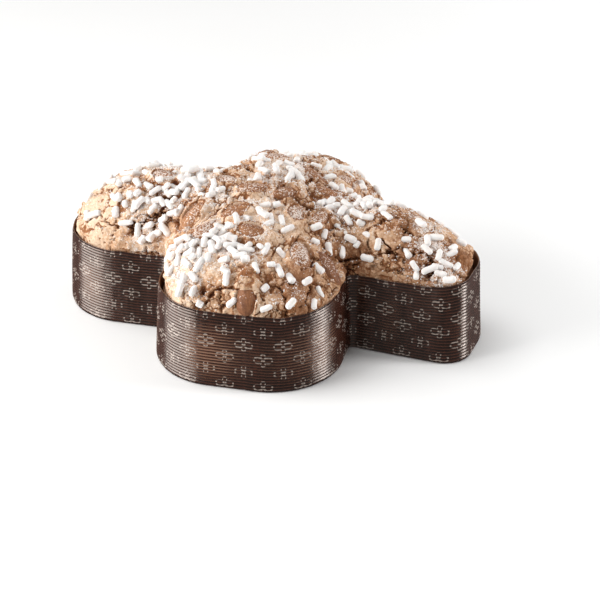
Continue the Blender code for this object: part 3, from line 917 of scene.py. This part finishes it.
def almond_reach(points):
    """Shares of the way from the nearest almond's middle to its edge, and to the edge of its bare part."""
    reach, bare = np.full(len(points), 9.0), np.full(len(points), 9.0)
    for number, almond in enumerate(ALMONDS):
        along, across = turned(points[:, 0] - almond.x, points[:, 1] - almond.y, almond.heading)
        along = along / (ALMOND_LENGTH * almond.size / 2)
        across = across / (ALMOND_WIDTH * almond.size / 2)
        buried = along > 0 if number % 3 == 0 else along < 0
        end, side = FRONT_BARE if number == 0 else BARE
        reach = np.minimum(reach, np.hypot(along, across))
        bare = np.minimum(bare, np.hypot(along * np.where(buried, end, 1.05), side * across))
    return reach, bare


def near_places(points, places):
    """1 in the middles of these places, each with a spread along x and y, and fading round them."""
    near = np.zeros(len(points))
    for x, y, wide, deep in places:
        spot = np.exp(-(((points[:, 0] - x) / wide) ** 2 + ((points[:, 1] - y) / deep) ** 2) / 2)
        near = np.maximum(near, spot)
    return near


def cavities(points):
    """The depth of the few large holes."""
    depth = np.zeros(len(points))
    edge = 1 + 0.55 * waves(points, 3.0 * MM, 44)
    for x, y, radius, deepest in CAVITIES:
        away = np.hypot(points[:, 0] - x, points[:, 1] - y) / (radius * edge)
        depth = np.maximum(depth, deepest * (1 - smooth_step((away - 0.55) / 0.5)))
    return depth


def long_cracks(points, ragged):
    """1 in the long cracks, 0 away from them."""
    x, y = (points + ragged)[:, :2].T
    away = np.full(len(points), 1.0)
    for pixels in LONG_CRACKS:
        line = seen_places(pixels)
        for start, stop in zip(line, line[1:]):
            (from_x, from_y), (over_x, over_y) = start * MM, (stop - start) * MM
            along = ((x - from_x) * over_x + (y - from_y) * over_y) / (over_x**2 + over_y**2)
            along = np.clip(along, 0, 1)
            away = np.minimum(away, np.hypot(x - from_x - along * over_x, y - from_y - along * over_y))
    width = LONG_CRACK_WIDTH * (0.7 + 0.5 * waves(points, 5 * MM, 98))
    return 1 - smooth_step((away / width - 0.35) / 0.8)


def rolled_out(points):
    """The plan of points on the dome, moved out where the shoulder is steep, so patterns keep their size."""
    depths = np.linspace(0, SHOULDER_WIDTH, 400)
    rise = (1 - (1 - depths / SHOULDER_WIDTH) ** SHOULDER_ROUNDNESS) ** (1 / SHOULDER_ROUNDNESS)
    steps = np.hypot(np.diff(depths), np.diff(rise * SHOULDER_HEIGHT))
    travelled = np.concatenate([[0], np.cumsum(steps)])
    extra = (travelled[-1] - travelled) - (SHOULDER_WIDTH - depths)
    depth, nearest = nearest_rim(points[:, 0], points[:, 1])
    towards = OUTLINE[nearest] - points[:, :2]
    towards /= np.linalg.norm(towards, axis=1, keepdims=True) + 1e-9
    drop = dome_height(points[:, 0], points[:, 1]) - points[:, 2]
    return points[:, :2] + towards * (np.interp(depth, depths, extra) + drop)[:, None]


def blocks(points, size, seed):
    """A random height from -1 to 1 for the small block that each point lies in."""
    scaled = points / size
    base = np.floor(scaled).astype(np.int64)
    nearest, height = np.full(len(points), 9.0), np.zeros(len(points))
    for offset in itertools.product((-1, 0, 1), repeat=3):
        cell = base + np.array(offset)
        jitter = np.stack([lattice(cell, seed + axis) for axis in range(3)], axis=-1)
        away = np.linalg.norm(scaled - cell - 0.5 - 0.45 * jitter, axis=1)
        height = np.where(away < nearest, lattice(cell, seed + 3), height)
        nearest = np.minimum(nearest, away)
    return height


def plate_cracks(points, ragged, calm):
    """How near the cracks between plates are, how far they gape, 1 inside them, and the plates' relief."""
    x, y = rolled_out(points).T
    border, stand = plate_borders(x + ragged[:, 0], y + ragged[:, 1])
    gape = open_cracks(x, y) * smooth_step(0.85 + waves(points, 12 * MM, 56)) * (1 - 0.7 * calm)
    width = CRACK_WIDTH * (0.2 + 0.35 * gape)
    groove = (1 - smooth_step((border - 0.3 * width) / (0.55 * width))) * smooth_step(gape * 2.4)
    return border, gape, groove, stand * smooth_step(border / CRACK_WIDTH) + 0.8 * glaze_lumps(x, y)


def fissures(points, broken, calm):
    """1 in the winding fissures."""
    fissure = 1 - smooth_step(np.abs(sum_of_waves(points, WINDING_LAYERS)) / FISSURE - 0.3)
    return fissure * smooth_step(0.35 + 1.3 * waves(points, 19 * MM, 63) + 0.6 * broken - 0.5 * calm)


def pits(points, broken, calm):
    """1 in the small pits."""
    pit = smooth_step((waves(points, 1.9 * MM, 70) - 0.5 + 0.25 * broken) / 0.15)
    return pit * smooth_step(0.7 + waves(points, 7 * MM, 71) - 0.4 * calm)


def crumbled(points, broken, calm):
    """How far the blocks that the glaze crumbled into stand up, in millimetres."""
    crumb = broken * (0.7 * blocks(points, 4.2 * MM, 72) + 0.5 * blocks(points, 2.3 * MM, 76) - 0.4)
    return crumb + 0.2 * (1 - calm) * blocks(points, 3.0 * MM, 78)


def almond_collars(points):
    """1 under bare almonds, how far the glaze climbs their sides, and the dark seam beside them, which is
    painted shade of the gap between almond and glaze.
    """
    reach, bare = almond_reach(points)
    under = 1 - smooth_step((bare + 0.1 * waves(points, 5 * MM, 87) - 0.66) / 0.13)
    cover = (1 - smooth_step((reach - 0.95) / 0.5)) * (1 - under)
    deep = smooth_step(bare - reach - 0.2)
    cover *= smooth_step(0.95 + 1.2 * waves(points, 8 * MM, 86) + 2 * deep) * (1 + 0.7 * deep)
    # The seam is painted shade: a dark ring where the glaze meets the almond.
    seam = 0.7 * np.exp(-(((bare - 0.84) / 0.07) ** 2)) * smooth_step(0.6 + 1.5 * waves(points, 7 * MM, 88))
    return under, cover, seam


def glaze_detail(points):
    """How far the glaze stands off the smooth dome, how cracked and toasted it is, with painted shade in the
    seams round almonds and on the browned places at the right, and its small bits.
    """
    wander, over = RAGGED
    ragged = np.column_stack([
        wander * (waves(points, over, 50 + axis) + 0.5 * waves(points, over / 2.2, 53 + axis))
        for axis in range(3)
    ])
    calm = near_places(points, CALM)
    broken = np.maximum(smooth_step(1.6 * waves(points, 23 * MM, 40) - 0.25), near_places(points, BROKEN))
    broken *= 1 - calm
    border, gape, groove, stands = plate_cracks(points, ragged, calm)
    fissure, pit = fissures(points, broken, calm), pits(points, broken, calm)
    crumb = crumbled(points + 0.5 * ragged, broken, calm)
    hole, split = cavities(points), long_cracks(points, 1.2 * ragged)
    under, cover, seam = almond_collars(points)
    bits = sum_of_waves(points, GRAIN_LAYERS) * (1 - 0.5 * calm) + crumb
    stands += (bits + sum_of_waves(points, SWELL_LAYERS)) * MM
    depth = CRACK_DEPTH * (0.3 + 0.6 * gape) * groove
    stands -= depth + FISSURE_DEPTH * fissure + PIT_DEPTH * pit + hole + LONG_CRACK_DEPTH * split
    stands *= (1 - under) * (1 - 0.3 * np.minimum(cover, 1))
    stands += ALMOND_COLLAR * cover - 0.8 * MM * under
    darkness = [
        groove * (0.4 + 0.6 * gape),
        0.75 * fissure,
        0.55 * pit,
        split,
        0.6 * broken * smooth_step((-crumb - 0.3) / 0.8),
        np.minimum(hole / (3 * MM), 1.0),
        seam,
    ]
    # Besides the real cracks and hollows, this mask carries the seams round the almonds, which are painted
    # shade.
    crack = np.max(darkness, axis=0) * (1 - under)
    toast_and_shade = 0.3 * broken + 0.3 * np.exp(-border / (2.2 * MM)) * gape + 0.4 * waves(points, 11 * MM, 90)
    # The browned places add both baked colour and painted shade on the dove's right side.
    toast_and_shade += TOAST_AND_SHADE * near_places(points, TOASTED_AND_SHADED) - 0.3 * calm - 0.45 * bits
    return stands, crack, toast_and_shade, bits


def loaf_powder(points, upward, crack, bits):
    """How much powdered sugar lies on the loaf: settled where it faces up, and heaped between the nibs."""
    uncracked = 1 - np.clip(crack, 0, 1)
    cover = smooth_step((upward - 0.3) / 0.6) * uncracked
    drift = 0.72 + 0.45 * waves(points, 26 * MM, 95) + 0.35 * waves(points, 9 * MM, 96) + 0.3 * bits
    heaped = np.zeros(len(points))
    for x, y, spread, _ in NIB_PATCHES:
        square = (points[:, 0] - x * MM) ** 2 + (points[:, 1] - y * MM) ** 2
        heaped += np.exp(-square / (2 * (HEAP_WIDTH * spread * MM) ** 2))
    # Less powder in the browned places keeps them darker, part baked colour and part painted shade.
    fallen = drift + 0.7 * heaped - 0.5 * near_places(points, TOASTED_AND_SHADED)
    settled = cover * (0.15 + 0.65 * np.clip(fallen, 0, 1.4))
    between_nibs = (0.5 + 0.4 * waves(points, 3 * MM, 97)) * np.minimum(heaped, 1.2) * uncracked
    return np.maximum(settled, between_nibs)


def make_loaf(finish):
    """The loaf with its whole relief."""
    points, faces = loaf_shape()
    loaf = new_object("glazed_loaf", points, faces, finish)
    on_dome = np.arange(len(points)) >= 2 * LOAF_STATIONS
    stands, crack, toast_and_shade, bits = glaze_detail(points)
    over_rim = (points[:, 2] - rim_height(points[:, 0])) / MM
    overhang = OVERHANG * smooth_step(waves(points, 8 * MM, 91) * 2 + 0.3) * (1 - smooth_step(over_rim / 14))
    stands = (stands + overhang) * smooth_step((over_rim + 2) / 4)
    most = 0.7 * MM + OVERHANG * smooth_step(over_rim / 3) + 3 * MM * smooth_step((over_rim - 3) / 5)
    stands = np.where(on_dome, np.minimum(stands, most), 0)
    points = points + read(loaf.data.vertices, "normal", 3) * stands[:, None]
    loaf.data.vertices.foreach_set("co", points.ravel())
    loaf.data.update()
    upward = read(loaf.data.vertices, "normal", 3)[:, 2]
    set_attribute(loaf, "crack", np.where(on_dome, crack, 0.3))
    set_attribute(loaf, "toast_and_shade", toast_and_shade)
    set_attribute(loaf, "powder", loaf_powder(points, upward, crack, bits))
    return loaf


def lie_on(normal, heading, pitch):
    """The turn of a thing along X that lies on a surface with this normal, pitched nose up."""
    upright = Vector((0, 0, 1)).rotation_difference(normal)
    turn = Quaternion((0, 0, 1), math.radians(heading))
    return upright @ turn @ Quaternion((0, 1, 0), -math.radians(pitch))


def almond_pose(almond):
    """Where an almond lies, and how it turns."""
    normal = dome_normal(almond.x, almond.y)
    height = float(dome_height(np.array(almond.x), np.array(almond.y)))
    place = Vector((almond.x, almond.y, height)) - normal * ALMOND_SUNK
    return place, lie_on(normal, almond.heading, almond.pitch)


def taken(work):
    """A bmesh's points and faces. The bmesh is freed."""
    points = np.array([vert.co for vert in work.verts])
    faces = [[vert.index for vert in face.verts] for face in work.faces]
    work.free()
    return points, faces


def almond_shape():
    """A whole almond along X, round at one end and pointed at the other, with its faces."""
    work = bmesh.new()
    bmesh.ops.create_uvsphere(work, u_segments=ALMOND_SEGMENTS, v_segments=ALMOND_ROWS, radius=0.5)
    bmesh.ops.rotate(work, verts=work.verts, matrix=Matrix.Rotation(math.pi / 2, 3, "Y"))
    points, faces = taken(work)
    taper = 1 - ALMOND_TAPER * np.clip(points[:, 0] + 0.5, 0, 1) ** ALMOND_TAPER_POWER
    along = np.clip(2 * np.abs(points[:, 0]), 0, 1)
    blunt = ((1 - along**2.5) / np.maximum(1 - along**2, 1e-6)) ** 0.5
    points[:, 1:] *= (taper * np.where(along < 1, blunt, 1))[:, None]
    return points * ALMOND_SIDES, faces


def make_almonds(finish):
    """One piece for each almond: wrinkled skin, and dust where it faces up."""
    shape, faces = almond_shape()
    for number, almond in enumerate(ALMONDS, 1):
        offset = number * 100 * MM
        along = shape[:, 0]
        wiggle = 0.12 * waves(np.column_stack([along, along * 0, along * 0 + offset]), 7 * MM, 6)
        around = np.arctan2(shape[:, 2], shape[:, 1]) + wiggle
        skin = np.column_stack([along * 0.22, np.cos(around) * 9 * MM, np.sin(around) * 9 * MM])
        ridge = sum_of_waves(skin + offset, WRINKLE_LAYERS)
        lumps = waves(shape + offset, 6 * MM, 102)
        outside = shape / ALMOND_SIDES / ALMOND_SIDES
        outside /= np.linalg.norm(outside, axis=1, keepdims=True)
        fade = smooth_step((0.5 - np.abs(along) / ALMOND_LENGTH) * 6)
        swell = WRINKLE * fade * ridge + ALMOND_LUMPS * lumps
        place, turn = almond_pose(almond)
        turn = np.array(turn.to_matrix())
        points = (shape + outside * swell[:, None]) * almond.size @ turn.T + np.array(place)
        upward = outside @ turn.T
        piece = new_object(f"whole_almond_{number:02d}", points, faces, finish)
        settled = (0.25 + 0.45 * almond.frost) * smooth_step((upward[:, 2] - 0.1) / 0.7)
        dust = settled + 0.15 * waves(points, 4 * MM, 103)
        set_attribute(piece, "tone", np.full(len(points), almond.tone))
        set_attribute(piece, "ridge", ridge)
        set_attribute(piece, "frost", dust)
        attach(piece, "root")
        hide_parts(f"almond_{number:02d}")


class Nib(NamedTuple):
    """One rod of sugar."""

    x: float
    y: float
    heading: float
    pitch: float
    width: float
    length: float


def clear_of_almonds(x, y, room):
    """True where a nib that needs this much room would miss every almond."""
    for almond in ALMONDS:
        half = ALMOND_LENGTH * almond.size / 2 - ALMOND_WIDTH / 2
        along, across = turned(x - almond.x, y - almond.y, almond.heading)
        along, across = max(abs(along) - half, 0), abs(across)
        if math.hypot(along, across) < ALMOND_WIDTH * almond.size / 2 + room:
            return False
    return True


def anywhere(random):
    """A random place in the rectangle round the dove."""
    return [random.uniform(-reach, reach) * MM for reach in SCATTER_REACH]


def place_nibs():
    """The larger nibs: first the patches, then an even scatter."""
    random = np.random.default_rng(NIB_SEED)
    nibs = []

    def try_nib(x, y, spacing):
        heading, pitch = random.uniform(0, 180), random.uniform(-10, 14)
        width, length = random.uniform(*NIB_WIDTH), random.uniform(*NIB_LENGTH)
        inside = plan_distance(np.array(x), np.array(y)) < -NIB_EDGE
        apart = all(math.hypot(x - nib.x, y - nib.y) > spacing for nib in nibs)
        if inside and apart and clear_of_almonds(x, y, length / 2):
            nibs.append(Nib(x, y, heading, pitch, width, length))

    for x, y, spread, count in NIB_PATCHES:
        wanted = len(nibs) + count
        for _ in range(TRIES_FOR_EACH_NIB * count):
            if len(nibs) < wanted:
                try_nib(*(np.array([x, y]) + random.normal(0, spread, 2)) * MM, NIB_SPACING)
    wanted = len(nibs) + SCATTERED_NIBS
    for _ in range(TRIES_FOR_EACH_NIB * SCATTERED_NIBS):
        if len(nibs) < wanted:
            try_nib(*anywhere(random), SCATTER_SPACING)
    return nibs


def nib_pose(nib):
    """A nib lies on the glaze, a third of it sunk in."""
    normal = dome_normal(nib.x, nib.y)
    height = float(crust_height(np.array(nib.x), np.array(nib.y)))
    place = Vector((nib.x, nib.y, height)) + normal * nib.width * NIB_RAISED
    return place, lie_on(normal, nib.heading, nib.pitch)


def place_small_nibs(placed, surface):
    """Smaller nibs between the larger ones, and some on top of them, with their poses."""
    random = np.random.default_rng(SMALL_NIB_SEED)
    poses = []

    def try_nib(x, y, heading):
        pitch = random.uniform(-22, 30)
        width, length = random.uniform(*SMALL_NIB_WIDTH), random.uniform(*SMALL_NIB_LENGTH)
        outside = plan_distance(np.array(x), np.array(y)) > -SMALL_NIB_EDGE
        if outside or not clear_of_almonds(x, y, 0.2 * length):
            return False
        near = [math.hypot(x - other[0], y - other[1]) for other in placed]
        if near and min(near) < SMALL_NIB_SPACING:
            return False
        spot, normal, _, _ = surface.ray_cast(Vector((x, y, 0.2)), Vector((0, 0, -1)))
        if spot is None or spot.z < RIM_HEIGHT + NIB_CLEAR:
            return False
        under = sum(distance < PILE_REACH for distance in near)
        normal = (normal + 1.5 * dome_normal(x, y)).normalized()
        lifted = spot + normal * (0.22 * width + PILE_STEP * min(under, 2) * random.uniform(0.3, 1))
        poses.append((lifted, lie_on(normal, heading, pitch), width, length))
        placed.append((x, y))
        return True

    places = seen_places([nib[:2] for nib in SINGLE_NIBS]) * MM
    for (x, y), (_, _, heading) in zip(places, SINGLE_NIBS):
        try_nib(x, y, heading)
    for x, y, spread, count in SMALL_NIB_PATCHES:
        found = 0
        for _ in range(TRIES_FOR_EACH_SMALL_NIB * count):
            if found < count:
                spot = (np.array([x, y]) + random.normal(0, spread, 2)) * MM
                found += try_nib(*spot, random.uniform(0, 180))
    found = 0
    for _ in range(TRIES_FOR_EACH_SMALL_NIB * SMALL_SCATTERED_NIBS):
        if found < SMALL_SCATTERED_NIBS:
            found += try_nib(*anywhere(random), random.uniform(0, 180))
    return poses


def rod_shape():
    """A rod along X, one long and one thick, with rounded ends, and its faces."""
    share = smooth_step(np.linspace(0, 1, NIB_ALONG)) * 0.6 + np.linspace(0, 1, NIB_ALONG) * 0.4
    x = -0.5 + share
    end = np.minimum(share, 1 - share)
    radius = 0.5 * np.sqrt(np.clip(1 - (1 - np.clip(end / 0.2, 0, 1)) ** 2.2, 0, 1))
    angles = np.linspace(0, 2 * math.pi, NIB_AROUND, endpoint=False)
    rows = [
        np.column_stack([np.full(NIB_AROUND, at), thick * np.cos(angles), thick * np.sin(angles)])
        for at, thick in zip(x[1:-1], radius[1:-1])
    ]
    rings, faces = joined_rings([NIB_AROUND] * len(rows))
    start, stop = len(rows) * NIB_AROUND, len(rows) * NIB_AROUND + 1
    first, last = rings[0], rings[-1]
    for i in range(NIB_AROUND):
        after = (i + 1) % NIB_AROUND
        faces.append((start, first[after], first[i]))
        faces.append((stop, last[i], last[after]))
    return np.vstack([*rows, [[-0.5, 0, 0], [0.5, 0, 0]]]), faces


def join_copies(copies, faces):
    """All copies' points as one list, and the faces of each."""
    count = len(copies[0])
    joined = [tuple(index + count * i for index in face) for i in range(len(copies)) for face in faces]
    return np.vstack(copies), joined


def make_nibs(surface, finish):
    """All the sugar rods as one piece: uneven, a little bent, with rounded ends."""
    nibs = place_nibs()
    poses = [(*nib_pose(nib), nib.width, nib.length) for nib in nibs]
    poses += place_small_nibs([(nib.x, nib.y) for nib in nibs], surface)
    rod, faces = rod_shape()
    random = np.random.default_rng(SMALL_NIB_SEED + 1)
    copies = []
    for place, turn, width, length in poses:
        flat = random.uniform(0.8, 1.0)
        points = rod * (length, width, width * flat)
        points[:, 2] += random.uniform(-0.5, 0.5) * MM * (2 * rod[:, 0]) ** 2
        sideways = points / (length, width, width)
        sideways[:, 0] *= 0.4
        sideways /= np.linalg.norm(sideways, axis=1, keepdims=True) + 1e-9
        offset = random.uniform(-1, 1, 3)
        bumps = sum_of_waves(points + offset, NIB_LAYERS)
        points += sideways * (NIB_BUMP * bumps)[:, None]
        turned = np.array(turn.to_matrix())
        copies.append(points @ turned.T + np.array(place))
    points, joined = join_copies(copies, faces)
    return new_object("sugar_nibs", points, joined, finish)


def surface_samples(loaf, weights, count, random):
    """Random points on the loaf, more where the weights are high, with the normals there."""
    mesh = loaf.data
    mesh.calc_loop_triangles()
    corners = read(mesh.loop_triangles, "vertices", 3, np.int32)
    points = read(mesh.vertices, "co", 3)
    a, b, c = (points[corners[:, i]] for i in range(3))
    cross = np.cross(b - a, c - a)
    area = np.linalg.norm(cross, axis=1)
    chance = area * weights[corners].mean(axis=1) * (a[:, 2] > BREAD_EDGE)
    chosen = random.choice(len(corners), count, p=chance / chance.sum())
    share = random.dirichlet((1, 1, 1), count)
    spots = share[:, :1] * a[chosen] + share[:, 1:2] * b[chosen] + share[:, 2:] * c[chosen]
    return spots, cross[chosen] / area[chosen, None]


def grain_shape():
    work = bmesh.new()
    bmesh.ops.create_icosphere(work, subdivisions=1, radius=0.5)
    return taken(work)


def make_scatter(name, loaf, weights, count, sizes, seed, finish):
    """Small uneven grains on the loaf, as one piece."""
    random = np.random.default_rng(seed)
    spots, normals = surface_samples(loaf, weights, count, random)
    grain, faces = grain_shape()
    copies = []
    for spot, normal in zip(spots, normals):
        size = random.uniform(*sizes) * random.uniform(0.6, 1.15, 3)
        turn = np.array(Quaternion(random.normal(size=4)).normalized().to_matrix())
        points = (grain * size * random.uniform(0.8, 1.2, (len(grain), 1))) @ turn.T
        copies.append(points + spot + normal * size.mean() * 0.2)
    points, joined = join_copies(copies, faces)
    return new_object(name, points, joined, finish, smooth=False)


def make_case(finish):
    """The paper case: ribbed outside, plain inside, with a folded foot and a thin cut rim."""
    rim = stations(CASE_STATIONS)
    normal = outward(rim)
    step = np.linalg.norm(np.roll(rim, -1, axis=0) - rim, axis=1)
    arc = np.concatenate([[0], np.cumsum(step)])
    turn = arc[:-1] / arc[-1] * 2 * math.pi
    circle = np.column_stack([np.cos(turn), np.sin(turn), 0 * turn]) * arc[-1] / (2 * math.pi)
    slow = waves(circle, 28 * MM, 120)
    pleats = PLEAT * sum_of_waves(circle, PLEAT_LAYERS)
    top = rim_height(rim[:, 0]) + RIM_WAVE * sum_of_waves(circle, RIM_LAYERS)
    ribs = round(RIM_HEIGHT / RIB_PITCH)
    levels = np.arange(ribs * ROWS_A_RIB + 1) / (ribs * ROWS_A_RIB)
    rows, crests, heights = [], [], []

    def add_row(level, offset, crest):
        height = top * level
        out = LEAN * (1 - level) + offset
        rows.append(np.column_stack([rim + normal * np.broadcast_to(out, len(rim))[:, None], height]))
        crests.append(np.full(len(rim), crest))
        heights.append(height)

    for level in levels:
        share = (level * ribs) % 1.0
        crest = 1 - share / RIB_SLOPE if share < RIB_SLOPE else (share - RIB_SLOPE) / (1 - RIB_SLOPE)
        from_foot = level * RIM_HEIGHT
        fold = FOOT_RADIUS - math.sqrt(max(FOOT_RADIUS**2 - max(FOOT_RADIUS - from_foot, 0) ** 2, 0))
        wave = WALL_WAVE * slow * math.sin(math.pi * min(level * 1.1, 1)) + pleats
        strength = float(smooth_step(from_foot / (2 * FOOT_RADIUS)) * smooth_step((1 - level) * 30))
        ribbed = 0.5 + (crest - 0.5) * strength
        add_row(level, wave - fold - RIB_HEIGHT * (1 - ribbed), ribbed)
    outer = len(rows)
    rim_offset = pleats - 0.5 * RIB_HEIGHT
    add_row(1.0 + 0.1 * MM / RIM_HEIGHT, rim_offset - SHEET / 2, 0)
    add_row(1.0, rim_offset - SHEET, 0)
    for level in INNER_LEVELS:
        add_row(level, rim_offset - SHEET, 0)
    count = len(rim)
    rings, walls = joined_rings([count] * len(rows))
    faces = [tuple(reversed(rings[0])), *walls, tuple(rings[-1])]
    points = np.vstack(rows)
    case = new_object("ribbed_case", points, faces, finish)
    set_attribute(case, "crest", np.concatenate(crests))
    cut = np.zeros(len(points))
    cut[outer * count : (outer + 2) * count] = CUT_RIM
    # The inside is brightened as painted light where it lies in shade.
    cut[(outer + 2) * count :] = INSIDE_PALE_AND_LIT
    set_attribute(case, "cut", cut)
    add_print_map(case, arc, np.concatenate(heights), count)
    return case


def add_print_map(case, arc, heights, count):
    """A map of the wall in rosettes: columns round it and rows up it, without a seam."""
    mesh = case.data
    corners = read(mesh.loops, "vertex_index", kind=np.int32)
    station = corners % count
    columns = 2 * round(arc[-1] / ROSETTE_PITCH / 2)
    column = arc[station] / arc[-1] * columns
    starts = read(mesh.polygons, "loop_start", kind=np.int32)
    totals = read(mesh.polygons, "loop_total", kind=np.int32)
    for start, total in zip(starts, totals):
        if total == 4 and station[start : start + total].max() == count - 1:
            wrapped = station[start : start + total] == 0
            column[start : start + total][wrapped] = columns
    layer = mesh.uv_layers.new(name="print")
    place = np.column_stack([column, heights[corners] / ROSETTE_PERIOD]) + ROSETTE_SHIFT
    layer.data.foreach_set("uv", place.ravel())


def add_light(name, energy, size, place, tint):
    """A soft rectangular light that faces the loaf."""
    lamp = bpy.data.lights.new(name, "AREA")
    lamp.shape = "RECTANGLE"
    lamp.size, lamp.size_y = size
    lamp.energy = energy
    lamp.color = tint
    made = bpy.data.objects.new(name, lamp)
    made.location = place
    made.visible_camera = False
    made.rotation_euler = (LIGHT_TARGET - Vector(place)).to_track_quat("-Z", "Y").to_euler()
    bpy.context.scene.collection.objects.link(made)


def light_studio():
    """The softboxes in a white room."""
    world = bpy.data.worlds.new("white_room")
    world.use_nodes = True
    background = world.node_tree.nodes["Background"]
    background.inputs["Color"].default_value = (1.0, 1.0, 1.0, 1)
    background.inputs["Strength"].default_value = ROOM_BRIGHTNESS
    bpy.context.scene.world = world
    for softbox in SOFTBOXES:
        add_light(*softbox)
    bpy.context.scene.view_settings.view_transform = "Standard"


def make_floor(finish):
    corners = np.array([(-1, -1, 0), (1, -1, 0), (1, 1, 0), (-1, 1, 0)]) * FLOOR_HALF
    floor = new_object("pale_floor", corners, [(0, 1, 2, 3)], finish)
    floor.visible_glossy = False


def place_camera():
    """The photograph's view: the target's pixel and the focal length set the aim."""
    back, right, up = view_axes()
    aside, below = (IMAGE_SIZE / 2 - pixel for pixel in TARGET_PIXEL)
    aim = -back * FOCAL_PIXELS + right * aside - up * below
    lens = bpy.data.cameras.new("camera")
    lens.sensor_width = SENSOR_WIDTH
    lens.lens = FOCAL_PIXELS / IMAGE_SIZE * SENSOR_WIDTH
    camera = bpy.data.objects.new("camera", lens)
    camera.location = VIEW_TARGET + back * VIEW_DISTANCE
    camera.rotation_euler = aim.to_track_quat("-Z", "Y").to_euler()
    bpy.context.scene.collection.objects.link(camera)
    bpy.context.scene.camera = camera


def main():
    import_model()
    sugar = sugar_material()
    loaf = make_loaf(glaze_material())
    surface = BVHTree.FromObject(loaf, bpy.context.evaluated_depsgraph_get())
    nibs = make_nibs(surface, sugar)
    powder, crack = (read(loaf.data.attributes[name].data, "value") for name in ("powder", "crack"))
    grains = make_scatter("sugar_grains", loaf, powder**2, GRAINS, GRAIN_SIZE, GRAIN_SEED, sugar)
    crumbs = make_scatter("crust_crumbs", loaf, crack, CRUMBS, CRUMB_SIZE, CRUMB_SEED, crumb_material())
    case = make_case(paper_material())
    for piece in (loaf, nibs, grains, crumbs):
        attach(piece, "root")
    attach(case, "root")
    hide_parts("bread")
    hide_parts("paper_case")
    make_almonds(almond_material())
    make_floor(floor_material())
    light_studio()
    place_camera()


main()
